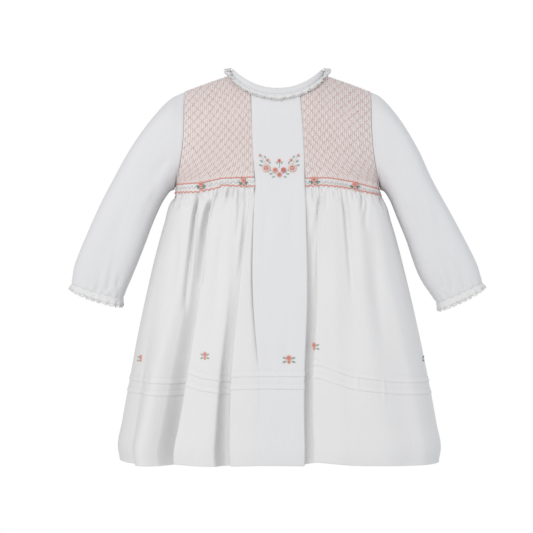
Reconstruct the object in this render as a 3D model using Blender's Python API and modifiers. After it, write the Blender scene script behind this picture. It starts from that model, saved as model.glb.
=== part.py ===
"""A toddler's smocked dress, hollow and filled out as it is when worn, built from its cut pieces.

The frame: x runs to the right as one looks at the front, y to the back, z up. The origin lies midway
between the two points where the shoulder seams meet the neck. Sizes are in millimetres until a mesh is
made. A height is a drop below the origin. A place round the body is a share of the half width (0 at the
centre line, 1 at the side seam) or the angle of the same place, 0 at the front and pi at the back.
"""

from collections import namedtuple

import bmesh
import bpy
import numpy as np

MM = 0.001

# Cloth
WALL = 1.3
BINDING_WALL = 1.6
LACE_WALL = 1.0
SEAM_GAP = 0.3

# Body form
Section = namedtuple("Section", "drop half_width front_depth back_depth squareness")
BODY = (
    Section(-14, 127.0, 56, 50, 2.8),
    Section(100, 127.0, 57, 50, 2.8),
    Section(136, 121.0, 58, 51, 2.7),
    Section(160, 130.5, 64, 57, 2.6),
    Section(208, 145.0, 72, 66, 2.5),
    Section(256, 157.0, 78, 73, 2.5),
    Section(316, 170.5, 84, 79, 2.5),
    Section(364, 180.0, 88, 84, 2.5),
    Section(412, 189.0, 91, 87, 2.5),
    Section(447, 194.4, 93, 89, 2.5),
    Section(457, 192.5, 92, 88, 2.5),
)
SHOULDER_RISE = 12.9
SHOULDER_SLOPE = 0.4
SHOULDER_BEND = 40
SHOULDER_ROUND = 75
SHOULDER_EDGE = 0.12

# Armhole: the seam's half width at each drop, from shoulder tip to underarm
ArmholePoint = namedtuple("ArmholePoint", "drop half_width")
ARMHOLE = (
    ArmholePoint(19.3, 111.0),
    ArmholePoint(66, 110.5),
    ArmholePoint(92, 112.5),
    ArmholePoint(118, 117.0),
    ArmholePoint(136, 121.0),
)
SHOULDER_TIP_X = ARMHOLE[0].half_width
UNDERARM_DROP = ARMHOLE[-1].drop

# Neck: the seam of the binding, and the binding itself
NECK_HALF_WIDTH = 57
NECK_FRONT_DROP = 25
NECK_BACK_DROP = 18.5
NECK_CURVE = 2.2
BINDING_RISE = 8.3
BINDING_LEAN_X = 0.05
BINDING_LEAN_Y = 0.14
BINDING_COLUMNS = 56

# Centre panel
PANEL_LEFT_X = -31.4
PANEL_RIGHT_X = 26.0
PANEL_BAND_LEFT = -0.217
PANEL_BAND_RIGHT = 0.275
PANEL_TOP_ROWS = 8

# Smocking: a trellis of diamonds between the shoulder and the band
SMOCK_COLUMNS = 14
SMOCK_ROWS = 22
SMOCK_RELIEF = 1.0
SMOCK_EDGE_DROP = 123
BAND_DROP = 133
BAND_DIP = 7
BAND_DIP_END = 230
RELEASE_DROP = UNDERARM_DROP - BAND_DIP

# Skirt
HEM_DROP = 457
LEVELS = (140, 250, 360, HEM_DROP)
SAG_LEVELS = (140, 250, 330, 400, HEM_DROP)
SAG_SHARES = (0, 0.3, 1, 0.8, 0.3)
TUCK_DROPS = (354.1, 368.5)
TUCK_WIDTH = 6
TUCK_RELIEF = 1.2
TUCK_UNDERCUT = 0.6
GATHER_DEPTH = 2.4
GATHER_LEVELS = (BAND_DROP, 145, 165, 200, 245)
GATHER_SHARES = (0.25, 1, 0.75, 0.25, 0)
FRONT_GATHERS = 12
BACK_GATHERS = 14
SKIRT_ROWS = (BAND_DROP, 143, 156, 172, 196, 232, 280, 325)
HEM_ROWS = (400, 432, 450, HEM_DROP)
INNER_HEM_ROWS = (361, 400, 432, HEM_DROP)

# Fold lines run down the skirt. Each has its share of the half width, and how far it stands out, at the
# four LEVELS; sag is how much lower the tucks hang there, and steps the mesh columns to the next line.
Fold = namedtuple(
    "Fold", "name steps band middle tucks hem out_band out_middle out_tucks out_hem sag"
)
LEFT_FOLDS = (
    Fold("side_seam", 5, 1.0, 1.0, 1.0, 1.0, 0, 0, 0, 0, 8),
    Fold("first_ridge", 5, 0.853, 0.765, 0.785, 0.838, 1, 3, 5, 6, 9),
    Fold("first_trough", 3, 0.706, 0.597, 0.613, 0.652, -2, -6, -8, -10, 10),
    Fold("second_edge", 4, 0.677, 0.563, 0.580, 0.606, 1, 3, 4, 4, -3),
    Fold("second_panel", 8, 0.600, 0.477, 0.483, 0.485, 0, 1, 1, 1, 2),
    Fold("second_trough", 3, 0.303, 0.335, 0.353, 0.347, -1.5, -3, -6, -8, 7),
    Fold("third_edge", 3, 0.270, 0.312, 0.321, 0.302, 1, 1.5, 2.5, 3, 1),
    Fold("panel_edge", 0, 0.217, 0.189, 0.122, 0.107, 0, -1, -0.5, 0, 0),
)
PANEL_FOLDS = (
    Fold("left_edge", 3, -0.217, -0.189, -0.122, -0.107, 0, -1, -0.5, 0, 0),
    Fold("centre", 4, 0.011, 0.001, 0.020, 0.024, 0, 0, 0, 0, 0),
    Fold("right_edge", 3, 0.250, 0.187, 0.164, 0.155, 1, 2, 2, 2, 0),
    Fold("groove", 0, 0.275, 0.215, 0.187, 0.176, -2, -7, -7, -7, -4),
)
RIGHT_FOLDS = (
    Fold("side_seam", 4, 1.0, 1.0, 1.0, 1.0, 0, 0, 0, 0, 10),
    Fold("side_ridge", 3, 0.910, 0.815, 0.821, 0.825, 1, 2, 2, 2, 9),
    Fold("soft_trough", 4, 0.839, 0.726, 0.687, 0.687, -1, -2, -2, -2, 8),
    Fold("soft_ridge", 4, 0.760, 0.638, 0.588, 0.577, 0.5, 1, 0.5, 1, 5),
    Fold("fine_crease", 6, 0.672, 0.547, 0.490, 0.467, -1.5, -2, -0.5, 0, 1),
    Fold("broad_fold", 4, 0.500, 0.410, 0.370, 0.350, 0, 1, 1, 1, -6),
    Fold("groove_side", 4, 0.364, 0.277, 0.245, 0.233, 0, 1, 1, 1, -13),
    Fold("groove", 0, 0.275, 0.215, 0.187, 0.176, -2, -7, -7, -7, -4),
)
BACK_FOLDS = (
    Fold("right_side_seam", 5, 1.0, 1.0, 1.0, 1.0, 0, 0, 0, 0, 10),
    Fold("first_ridge", 4, 0.800, 0.820, 0.840, 0.850, 1, 4, 6, 7, 8),
    Fold("first_trough", 4, 0.640, 0.680, 0.690, 0.700, -1, -4, -6, -7, 4),
    Fold("second_ridge", 5, 0.450, 0.480, 0.500, 0.520, 1, 4, 5, 6, 1),
    Fold("second_trough", 5, 0.240, 0.260, 0.280, 0.270, -1, -4, -7, -8, 3),
    Fold("centre_ridge", 5, 0.050, 0.040, 0.030, 0.010, 1, 3, 5, 5, 0),
    Fold("third_trough", 5, -0.200, -0.210, -0.190, -0.210, -1, -3, -5, -6, 2),
    Fold("fourth_ridge", 5, -0.420, -0.440, -0.450, -0.460, 1, 4, 6, 7, 0),
    Fold("fourth_trough", 4, -0.620, -0.640, -0.650, -0.640, -1, -4, -6, -8, 5),
    Fold("fifth_ridge", 5, -0.790, -0.800, -0.820, -0.840, 1, 3, 5, 6, 7),
    Fold("left_side_seam", 0, -1.0, -1.0, -1.0, -1.0, 0, 0, 0, 0, 8),
)

# Sleeves: rings from the armhole to the wrist, as seen from the front
SleeveRing = namedtuple("SleeveRing", "outer_x outer_drop inner_x inner_drop half_depth")
LEFT_SLEEVE = (
    SleeveRing(111.0, 19.3, 121.0, 136.0, 33),
    SleeveRing(129.0, 28, 125.0, 135.5, 36),
    SleeveRing(152.0, 52, 130.5, 139.0, 38),
    SleeveRing(176.0, 88, 138.0, 151.0, 38),
    SleeveRing(196.0, 124, 147.0, 171.5, 36.5),
    SleeveRing(220.0, 172, 161.0, 207.0, 33),
    SleeveRing(240.5, 220, 176.0, 243.0, 29),
    SleeveRing(245.5, 246, 185.5, 264.5, 25),
)
RIGHT_SLEEVE = (
    SleeveRing(111.0, 19.3, 121.0, 136.0, 33),
    SleeveRing(126.5, 28, 125.0, 136.0, 36),
    SleeveRing(147.0, 52, 129.5, 139.0, 38),
    SleeveRing(167.5, 88, 135.0, 148.0, 38),
    SleeveRing(184.0, 124, 142.0, 166.0, 36.5),
    SleeveRing(210.5, 172, 154.0, 196.0, 33),
    SleeveRing(236.0, 220, 170.5, 240.0, 29),
    SleeveRing(244.0, 245, 191.0, 270.0, 25),
)
SLEEVE_COLUMNS = 28
SLEEVE_LEVELS = (0, 0.07, 0.16, 0.28, 0.42, 0.56, 0.7, 0.84, 0.93, 1)
SLEEVE_CAP_FADE = 0.45

# Back bodice
BACK_COLUMNS = 11
BACK_ROWS = 9

# Lace edgings
NECK_WAVES = 36
CUFF_WAVES = 22
COLUMNS_PER_WAVE = 4
LACE_WAVE = 1.1
LACE_CLEARANCE = 0.4
NECK_LACE_WIDTH = 6
NECK_LACE_STAND = 7
NECK_LACE_TUCK = 0.55
NECK_LACE_PUFF = 1.0
NECK_LACE_ARCH_END = 0.6
SHOULDER_FOCUS = 8
LACE_LEVELS = (0, 0.5, 1)
CUFF_LACE_LENGTH = 9
CUFF_LACE_FLARE = 2.0

# Back closure
PLACKET_HALF_WIDTH = 7.5
PLACKET_WALL = 1.2
PLACKET_CLEARANCE = 0.6
PLACKET_DROPS = (28.5, 126)
PLACKET_ROWS = 9
PLACKET_COLUMNS = 4
BUTTON_DROPS = (38, 64.5, 91, 117.5)
BUTTON_RADIUS = 4.5
BUTTON_THICKNESS = 2.0
BUTTON_SIDES = 16
BUTTON_RIM = 0.5
BUTTON_LIFT = 0.4

# Fineness of the sums that find lengths and slopes, and of the shading
ARMHOLE_SAMPLES = 121
NORMAL_STEP = 1e-3
SLOPE_STEP = 0.1
SHARP_ANGLE = 50


# --- Curves and the body form -------------------------------------------------------------------


def field(rows, name):
    """One column of a table."""
    return np.array([getattr(row, name) for row in rows], float)


def smooth(knots, values, at):
    """A smooth curve through the values at the knots, held level past both ends."""
    knots = np.asarray(knots, float)
    values = np.asarray(values, float)
    slopes = np.gradient(values, knots)
    at = np.clip(at, knots[0], knots[-1])
    k = np.clip(np.searchsorted(knots, at, side="right") - 1, 0, len(knots) - 2)
    span = knots[k + 1] - knots[k]
    t = (at - knots[k]) / span
    return (
        values[k] * (1 + 2 * t) * (1 - t) ** 2
        + values[k + 1] * t * t * (3 - 2 * t)
        + slopes[k] * span * t * (1 - t) ** 2
        - slopes[k + 1] * span * t * t * (1 - t)
    )


def section(drop):
    """Half width, front depth, back depth and squareness of the body at a drop."""
    drops = field(BODY, "drop")
    return [smooth(drops, field(BODY, name), drop) for name in Section._fields[1:]]


def shoulder_drop(x):
    """The drop of the shoulder seam, above which there is no cloth."""
    return SHOULDER_SLOPE * (np.hypot(x, SHOULDER_BEND) - SHOULDER_BEND) - SHOULDER_RISE


def fullness(x, drop):
    """How far the cloth has come out from the shoulder seam, from 0 there to 1 at the chest."""
    below = np.clip((drop - shoulder_drop(x)) / SHOULDER_ROUND, 0, None)
    turned = np.minimum(np.sqrt(below * (below + 2 * SHOULDER_EDGE)), 1)
    return 1 - (1 - turned) ** 2


def angle_at(share, drop, back=False):
    """The angle of a share of the half width, on the front or on the back."""
    squareness = section(drop)[3]
    share = np.clip(share, -1, 1)
    ahead = (1 - np.abs(share) ** squareness) ** (1 / squareness)
    angle = np.arctan2(share, ahead)
    return np.pi - angle if back else angle


def body_point(angle, drop, out=0.0):
    """A point of the body form, moved out level by out."""
    angle, drop, out = np.broadcast_arrays(angle, drop, out)
    half_width, front_depth, back_depth, squareness = section(drop)
    sine, cosine = np.sin(angle), np.cos(angle)
    reach = (np.abs(sine) ** squareness + np.abs(cosine) ** squareness) ** (-1 / squareness)
    across, ahead = reach * sine, reach * cosine
    depth = np.where(ahead > 0, front_depth, back_depth)
    facing_x = np.sign(across) * np.abs(across) ** (squareness - 1) / half_width
    facing_y = -np.sign(ahead) * np.abs(ahead) ** (squareness - 1) / depth
    length = np.hypot(facing_x, facing_y)
    x = half_width * across
    y = -depth * ahead * fullness(x, drop)
    return np.stack([x + out * facing_x / length, y + out * facing_y / length, -drop], axis=-1)


def band_dip(share):
    """How much lower the band runs towards the side seams."""
    return BAND_DIP * np.abs(share) ** 3


def neck_drop(x, back=False, spread=0.0):
    """The drop of the neck seam, or of a line spread further down the body."""
    centre = (NECK_BACK_DROP if back else NECK_FRONT_DROP) + spread
    side = shoulder_drop(NECK_HALF_WIDTH + spread)
    return centre + (side - centre) * (np.abs(x) / (NECK_HALF_WIDTH + spread)) ** NECK_CURVE


# --- Surfaces: each takes arrays u across and v down ---------------------------------------------


def patch(sides, ends, u, v):
    """Blend between two side lines and two end lines of (angle, drop) pairs."""
    left, right = sides
    top, bottom = ends
    u, v = np.broadcast_arrays(u, v)
    zero, one = np.zeros_like(u), np.ones_like(u)
    s, t = u[..., None], v[..., None]
    ruled = (1 - s) * left(v) + s * right(v) + (1 - t) * top(u) + t * bottom(u)
    corners = (1 - s) * ((1 - t) * top(zero) + t * bottom(zero))
    return ruled - corners - s * ((1 - t) * top(one) + t * bottom(one))


def pairs(angle, drop):
    return np.stack(np.broadcast_arrays(angle, drop), axis=-1)


def place(share, drop, back=False):
    """The (angle, drop) pair of a share of the half width."""
    return pairs(angle_at(share, drop, back), drop)


def place_x(x, drop, back=False):
    """The (angle, drop) pair of a distance from the centre line."""
    return place(x / section(drop)[0], drop, back)


def lerp(start, end, t):
    return start + (end - start) * t


def armhole_x(drop):
    """The distance of the armhole seam from the centre line."""
    return smooth(field(ARMHOLE, "drop"), field(ARMHOLE, "half_width"), drop)


def armhole_line(last_drop, back):
    """Down the armhole seam from the shoulder tip."""

    def line(t):
        drop = lerp(shoulder_drop(SHOULDER_TIP_X), last_drop, t)
        return place_x(armhole_x(drop), drop, back)

    return line


def top_line(inner_x, back):
    """Along the shoulder seam to the neck, then along the neck seam."""

    def line(u):
        x = lerp(SHOULDER_TIP_X, inner_x, u)
        seam_drop = neck_drop(np.minimum(x, NECK_HALF_WIDTH), back)
        drop = np.where(x > NECK_HALF_WIDTH, shoulder_drop(x), seam_drop)
        return place_x(x, drop, back)

    return line


def smocked_surface(side):
    """The smocked part of a side front: u from the armhole to the centre panel, v down to the band."""
    inner_x = -PANEL_LEFT_X if side < 0 else PANEL_RIGHT_X
    inner_share = -PANEL_BAND_LEFT if side < 0 else PANEL_BAND_RIGHT
    outer_drop = SMOCK_EDGE_DROP + BAND_DIP
    outer_place = armhole_line(outer_drop, False)(1.0)
    inner_drop = SMOCK_EDGE_DROP + band_dip(inner_share)
    top_drop = neck_drop(inner_x)

    def inner_line(t):
        drop = lerp(top_drop, inner_drop, t)
        x = lerp(inner_x, inner_share * section(inner_drop)[0], t)
        return place_x(x, drop)

    def bottom_line(u):
        share = lerp(armhole_x(outer_drop) / section(outer_drop)[0], inner_share, u)
        drop = lerp(outer_place[1], inner_drop, 1 - (1 - u) ** 2)
        return place(share, drop)

    sides = (armhole_line(outer_drop, False), inner_line)
    ends = (top_line(inner_x, False), bottom_line)

    def surface(u, v):
        spot = patch(sides, ends, u, v)
        return body_point(spot[..., 0] * side, spot[..., 1])

    return surface


def panel_top_surface(u, v):
    """The centre panel from the neck to the band."""
    table = PANEL_FOLDS

    def edge_line(x, share):
        last = BAND_DROP + band_dip(share)

        def line(t):
            drop = lerp(neck_drop(x), last, t)
            return place_x(lerp(x, share * section(last)[0], t), drop)

        return line

    def neck_line(s):
        x = lerp(PANEL_LEFT_X, PANEL_RIGHT_X, s)
        return place_x(x, neck_drop(x))

    def band_line(s):
        angle, _, _ = fold_state(table, s, float(LEVELS[0]))
        share = fold_share(table, s)
        return pairs(angle, BAND_DROP + band_dip(share))

    sides = (edge_line(PANEL_LEFT_X, PANEL_BAND_LEFT), edge_line(PANEL_RIGHT_X, PANEL_BAND_RIGHT))
    spot = patch(sides, (neck_line, band_line), u, v)
    _, out, _ = fold_state(table, u, float(LEVELS[0]))
    return body_point(spot[..., 0], spot[..., 1], out * v**3)


def back_surface(side):
    """Half of the back bodice: u from the armhole to centre back, v down to the waist seam."""
    last = BAND_DROP + BAND_DIP

    def side_line(t):
        drop = lerp(shoulder_drop(SHOULDER_TIP_X), last, t)
        share = np.where(drop > UNDERARM_DROP, 1, armhole_x(drop) / section(drop)[0])
        return place(share, drop, True)

    def centre_line(t):
        return pairs(np.pi + 0 * t, lerp(NECK_BACK_DROP, BAND_DROP, t))

    def waist_line(u):
        angle = lerp(np.pi / 2, np.pi, u)
        return pairs(angle, BAND_DROP + band_dip(1 - u))

    sides = (side_line, centre_line)
    ends = (top_line(0.0, True), waist_line)

    def surface(u, v):
        spot = patch(sides, ends, u, v)
        return body_point(spot[..., 0] * side, spot[..., 1])

    return surface


def fold_columns(table):
    """The fraction of the way across at which each fold line lies."""
    steps = field(table, "steps")
    return np.concatenate([[0], np.cumsum(steps[:-1])]) / steps.sum()


def fold_share(table, u):
    """The share of the half width at the band."""
    return np.interp(u, fold_columns(table), field(table, "band"))


def fold_state(table, u, drop, back=False):
    """Angle, distance out and tuck sag of the skirt at a fraction u across."""
    u, drop = np.broadcast_arrays(np.asarray(u, float), np.asarray(drop, float))
    columns = fold_columns(table)
    k = np.clip(np.searchsorted(columns, u, side="right") - 1, 0, len(columns) - 2)
    t = (u - columns[k]) / (columns[k + 1] - columns[k])
    ease = 0.5 - 0.5 * np.cos(np.pi * t)
    angles = np.array(
        [
            angle_at(smooth(LEVELS, (f.band, f.middle, f.tucks, f.hem), drop), drop, back)
            for f in table
        ]
    )
    outs = np.array(
        [smooth(LEVELS, (f.out_band, f.out_middle, f.out_tucks, f.out_hem), drop) for f in table]
    )
    sags = field(table, "sag")

    def pick(values, index):
        return np.take_along_axis(values, index[None], axis=0)[0]

    angle = lerp(pick(angles, k), pick(angles, k + 1), t)
    out = lerp(pick(outs, k), pick(outs, k + 1), ease)
    return angle, out, lerp(sags[k], sags[k + 1], ease)


def skirt_surface(table, side=1, gathers=0, back=False):
    """The skirt over a table of folds: u across it, v the drop at the centre line."""

    def surface(u, v):
        u, v = np.broadcast_arrays(np.asarray(u, float), np.asarray(v, float))
        share = fold_share(table, u)
        dip = band_dip(share) * smooth((BAND_DROP, BAND_DIP_END), (1, 0), v)
        level = v + dip
        _, _, sag = fold_state(table, u, level, back)
        drop = level + sag * smooth(SAG_LEVELS, SAG_SHARES, v)
        angle, out, _ = fold_state(table, u, drop, back)
        wave = 0.5 - 0.5 * np.cos(2 * np.pi * gathers * share)
        gathered = GATHER_DEPTH * smooth(GATHER_LEVELS, GATHER_SHARES, v) * wave
        return body_point(angle * side, drop, out - gathered)

    return surface


def armhole_point(turn):
    """The armhole seam at a turn: 0 at the shoulder tip, a quarter at the front, half underarm."""
    t = (1 - np.cos(np.linspace(0, np.pi, ARMHOLE_SAMPLES))) / 2
    spot = armhole_line(UNDERARM_DROP, False)(t)
    halves = []
    for back in (False, True):
        angle = np.pi - spot[..., 0] if back else spot[..., 0]
        line = body_point(angle, spot[..., 1])
        run = np.concatenate([[0], np.cumsum(np.linalg.norm(np.diff(line, axis=0), axis=1))])
        along = (1 - np.abs(1 - 2 * (turn % 1.0))) * run[-1]
        halves.append(np.stack([np.interp(along, run, line[:, axis]) for axis in range(3)], axis=-1))
    return np.where((turn % 1.0 < 0.5)[..., None], halves[0], halves[1])


def sleeve_surface(rings, side):
    """A sleeve: u once round it from the top by the front, v from the armhole to the wrist."""
    knots = np.linspace(0, 1, len(rings))

    def oval(turn, v):
        values = [smooth(knots, field(rings, name), v) for name in SleeveRing._fields]
        outer_x, outer_drop, inner_x, inner_drop, half_depth = values
        cosine, sine = np.cos(2 * np.pi * turn), np.sin(2 * np.pi * turn)
        x = (outer_x + inner_x) / 2 + (outer_x - inner_x) / 2 * cosine
        z = -(outer_drop + inner_drop) / 2 - (outer_drop - inner_drop) / 2 * cosine
        return np.stack([x, -half_depth * sine, z], axis=-1)

    def surface(u, v):
        u, v = np.broadcast_arrays(np.asarray(u, float), np.asarray(v, float))
        start = armhole_point(u) - oval(u, np.zeros_like(v))
        fade = np.clip(1 - v / SLEEVE_CAP_FADE, 0, 1) ** 2
        point = oval(u, v) + start * fade[..., None]
        return point * np.array([side, 1, 1])

    return surface


def neck_line_point(turn, spread=0.0):
    """The neck seam at a turn from the front centre, or a line spread further down the body."""
    x = (NECK_HALF_WIDTH + spread) * np.sin(2 * np.pi * turn)
    behind = np.cos(2 * np.pi * turn) < 0
    drop = np.where(behind, neck_drop(x, True, spread), neck_drop(x, False, spread))
    half_width = section(drop)[0]
    front = body_point(angle_at(x / half_width, drop), drop)
    rear = body_point(angle_at(x / half_width, drop, True), drop)
    return np.where(behind[..., None], rear, front)


def binding_surface(u, v):
    """The neck binding: u once round, v from its top edge down to the seam."""
    u, v = np.broadcast_arrays(np.asarray(u, float), np.asarray(v, float))
    seam = neck_line_point(u)
    rise = (1 - v) * (1 - SEAM_GAP / BINDING_RISE) + SEAM_GAP / BINDING_RISE
    lean = np.stack([1 - BINDING_LEAN_X * rise, 1 - BINDING_LEAN_Y * rise, np.ones_like(rise)], axis=-1)
    return seam * lean + np.stack([0 * rise, 0 * rise, BINDING_RISE * rise], axis=-1)


def neck_lace_surface(u, v):
    """The neck edging: u once round, v from the seam to its scalloped edge, over the bodice."""
    u, v = np.broadcast_arrays(np.asarray(u, float), np.asarray(v, float))
    step = NORMAL_STEP
    shoulder = np.abs(np.sin(2 * np.pi * u)) ** SHOULDER_FOCUS
    spread = LACE_WALL + NECK_LACE_WIDTH * v * (1 - NECK_LACE_TUCK * shoulder)
    point = neck_line_point(u, spread)
    along = neck_line_point(u + step, spread) - neck_line_point(u - step, spread)
    down = neck_line_point(u, spread + step) - neck_line_point(u, spread - step)
    facing = np.cross(down, along)
    facing /= np.linalg.norm(facing, axis=-1, keepdims=True)
    wave = 0.5 - 0.5 * np.cos(2 * np.pi * NECK_WAVES * u)
    arch = np.sin(np.pi * np.minimum(v, NECK_LACE_ARCH_END)) ** 2
    height = LACE_CLEARANCE + LACE_WALL + (NECK_LACE_PUFF + 2 * LACE_WAVE * wave) * arch
    height = height + NECK_LACE_STAND * shoulder * v
    return point + facing * height[..., None]


def cuff_lace_surface(rings, side):
    """A cuff edging: u once round the wrist, v from the seam to its scalloped edge."""
    sleeve = sleeve_surface(rings, side)

    def surface(u, v):
        u, v = np.broadcast_arrays(np.asarray(u, float), np.asarray(v, float))
        end = np.ones_like(u)
        ring = sleeve(u, end)
        middle = (sleeve(np.zeros_like(u), end) + sleeve(np.full_like(u, 0.5), end)) / 2
        across = sleeve(np.zeros_like(u), end) - sleeve(np.full_like(u, 0.5), end)
        onward = np.cross(across, [0.0, -side, 0.0])
        onward /= np.linalg.norm(onward, axis=-1, keepdims=True)
        outward = ring - middle
        outward /= np.linalg.norm(outward, axis=-1, keepdims=True)
        wave = np.cos(2 * np.pi * CUFF_WAVES * u)
        flare = (CUFF_LACE_FLARE + LACE_WAVE * wave) * v
        length = SEAM_GAP + CUFF_LACE_LENGTH * v
        return ring + onward * length[..., None] + outward * flare[..., None]

    return surface


# --- Meshes ---------------------------------------------------------------------------------------


def facing_out(surface, u, v, inside, closed):
    """Unit normals of a surface, turned away from the hollow."""
    step = NORMAL_STEP * (v.max() - v.min())
    low_u, high_u = u - NORMAL_STEP, u + NORMAL_STEP
    if not closed:
        low_u, high_u = np.maximum(low_u, 0), np.minimum(high_u, 1)
    low_v, high_v = np.maximum(v - step, v.min()), np.minimum(v + step, v.max())
    normal = np.cross(surface(u, high_v) - surface(u, low_v), surface(high_u, v) - surface(low_u, v))
    normal /= np.linalg.norm(normal, axis=-1, keepdims=True)
    away = np.sum(normal * (surface(u, v) - inside(v)), axis=-1)
    return normal * np.sign(away.mean())


def body_middle(v):
    """The middle of the neck opening, from which every wall of the body faces away."""
    return np.zeros(np.shape(v) + (3,))


def wall_rows(surface, columns, levels, inside, out, closed=False):
    """Rows of points of one face of a wall, moved out from the surface by out."""
    u = np.linspace(0, 1, columns + 1)
    if closed:
        u = u[:-1]
    grid_u, grid_v = np.meshgrid(u, np.asarray(levels, float))
    normal = facing_out(surface, grid_u, grid_v, inside, closed)
    return list(surface(grid_u, grid_v) + normal * np.broadcast_to(out, grid_u.shape)[..., None])


def fractions(line):
    """The fraction of a line's length at each of its vertices."""
    lengths = [0.0]
    for first, second in zip(line, line[1:]):
        lengths.append(lengths[-1] + (second.co - first.co).length)
    return [length / lengths[-1] for length in lengths]


def zip_lines(bm, first, second, parity=0):
    """Triangles between two lines of vertices. Lines of one count get diagonals that form diamonds."""
    if len(first) == len(second):
        for k in range(len(first) - 1):
            a, b, c, d = first[k], first[k + 1], second[k + 1], second[k]
            if (k + parity) % 2:
                bm.faces.new((a, b, d))
                bm.faces.new((b, c, d))
            else:
                bm.faces.new((a, b, c))
                bm.faces.new((a, c, d))
        return
    along_first, along_second = fractions(first), fractions(second)
    i = j = 0
    while i < len(first) - 1 or j < len(second) - 1:
        ahead_first = i < len(first) - 1
        if j == len(second) - 1 or (ahead_first and along_first[i + 1] <= along_second[j + 1]):
            bm.faces.new((first[i], first[i + 1], second[j]))
            i += 1
        else:
            bm.faces.new((first[i], second[j + 1], second[j]))
            j += 1


def cloth(name, outer, inner, material, shift=(0, 0, 0), closed=False):
    """A closed wall between its outer and inner rows of points, given in millimetres."""
    bm = bmesh.new()
    faces = []
    for rows in (outer, inner):
        lines = [[bm.verts.new((point + np.array(shift)) * MM) for point in row] for row in rows]
        if closed:
            lines = [line + line[:1] for line in lines]
        for parity, (first, second) in enumerate(zip(lines, lines[1:])):
            zip_lines(bm, first, second, parity)
        faces.append(lines)
    out_lines, in_lines = faces
    zip_lines(bm, out_lines[0], in_lines[0])
    zip_lines(bm, out_lines[-1], in_lines[-1])
    if not closed:
        for end in (0, -1):
            zip_lines(bm, [line[end] for line in out_lines], [line[end] for line in in_lines])
    bmesh.ops.recalc_face_normals(bm, faces=bm.faces)
    mesh = bpy.data.meshes.new(name)
    bm.to_mesh(mesh)
    bm.free()
    return add_object(name, mesh, material)


def add_object(name, mesh, material):
    mesh.shade_smooth()
    mesh.set_sharp_from_angle(angle=np.radians(SHARP_ANGLE))
    mesh.materials.append(material)
    piece = bpy.data.objects.new(name, mesh)
    bpy.data.collections["toddler_dress"].objects.link(piece)
    return piece


def make_material(name, color, roughness):
    material = bpy.data.materials.new(name)
    material.use_nodes = True
    shader = material.node_tree.nodes["Principled BSDF"]
    shader.inputs["Base Color"].default_value = (*color, 1)
    shader.inputs["Roughness"].default_value = roughness
    return material


# --- Pieces ---------------------------------------------------------------------------------------


def tuck_rows():
    """The drops of the outer rows over the tucks, and how far each row is raised."""
    rows = []
    for drop in TUCK_DROPS:
        rows += [(drop - TUCK_WIDTH, 0), (drop, TUCK_RELIEF), (drop + TUCK_UNDERCUT, 0)]
    return rows


def skirt_walls(surface, columns, first_rows):
    """Outer and inner rows of a skirt piece, with the tucks raised on the outside."""
    plain = [(drop, 0) for drop in first_rows + SKIRT_ROWS]
    raised = plain + tuck_rows() + [(drop, 0) for drop in HEM_ROWS]
    levels = [drop for drop, _ in raised]
    relief = np.array([[height] for _, height in raised], float)
    outer = wall_rows(surface, columns, levels, body_middle, relief)
    inner_levels = first_rows + SKIRT_ROWS + INNER_HEM_ROWS
    return outer, wall_rows(surface, columns, inner_levels, body_middle, -WALL)


def smocking_relief():
    """Raised trellis lines: every second crossing of the grid stands up, the cells between sink."""
    relief = np.zeros((SMOCK_ROWS + 1, SMOCK_COLUMNS + 1))
    for row in range(1, SMOCK_ROWS):
        for column in range(1, SMOCK_COLUMNS):
            if (row + column) % 2 == 0:
                relief[row, column] = SMOCK_RELIEF
    return relief


def side_front(name, side, table, material):
    """A side front in one piece: smocked above, released into the skirt below."""
    smocked = smocked_surface(side)
    levels = np.linspace(0, 1, SMOCK_ROWS + 1)
    outer = wall_rows(smocked, SMOCK_COLUMNS, levels, body_middle, smocking_relief())
    inner = wall_rows(smocked, SMOCK_COLUMNS // 2, levels[::3], body_middle, -WALL)
    skirt = skirt_surface(table, side, FRONT_GATHERS)
    columns = int(field(table, "steps").sum())
    skirt_outer, skirt_inner = skirt_walls(skirt, columns, (RELEASE_DROP,))
    shift = (side * SEAM_GAP, -SEAM_GAP / 2, 0)
    return cloth(name, outer + skirt_outer, inner + skirt_inner, material, shift)


def centre_front(material):
    """The plain strip from the neck to the hem."""
    columns = int(field(PANEL_FOLDS, "steps").sum())
    levels = np.linspace(0, 1, PANEL_TOP_ROWS + 1)[:-1]
    outer = wall_rows(panel_top_surface, columns, levels, body_middle, 0)
    inner = wall_rows(panel_top_surface, columns, levels, body_middle, -WALL)
    skirt_outer, skirt_inner = skirt_walls(skirt_surface(PANEL_FOLDS), columns, ())
    shift = (0, -SEAM_GAP / 2, 0)
    return cloth("front_center", outer + skirt_outer, inner + skirt_inner, material, shift)


def back_half(name, side, material):
    """Half of the back bodice."""
    surface = back_surface(side)
    levels = np.linspace(0, 1, BACK_ROWS + 1)
    outer = wall_rows(surface, BACK_COLUMNS, levels, body_middle, 0)
    inner = wall_rows(surface, BACK_COLUMNS, levels, body_middle, -WALL)
    return cloth(name, outer, inner, material, (side * SEAM_GAP / 2, SEAM_GAP / 2, 0))


def skirt_back(material):
    """The back skirt from side seam to side seam."""
    columns = int(field(BACK_FOLDS, "steps").sum())
    surface = skirt_surface(BACK_FOLDS, 1, BACK_GATHERS, True)
    outer, inner = skirt_walls(surface, columns, ())
    return cloth("skirt_back", outer, inner, material, (0, SEAM_GAP / 2, -SEAM_GAP))


def sleeve_middle(rings, side):
    """The middle line of a sleeve, from the armhole to the wrist."""
    surface = sleeve_surface(rings, side)

    def middle(v):
        return (surface(np.zeros_like(v), v) + surface(np.full_like(v, 0.5), v)) / 2

    return middle


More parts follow.
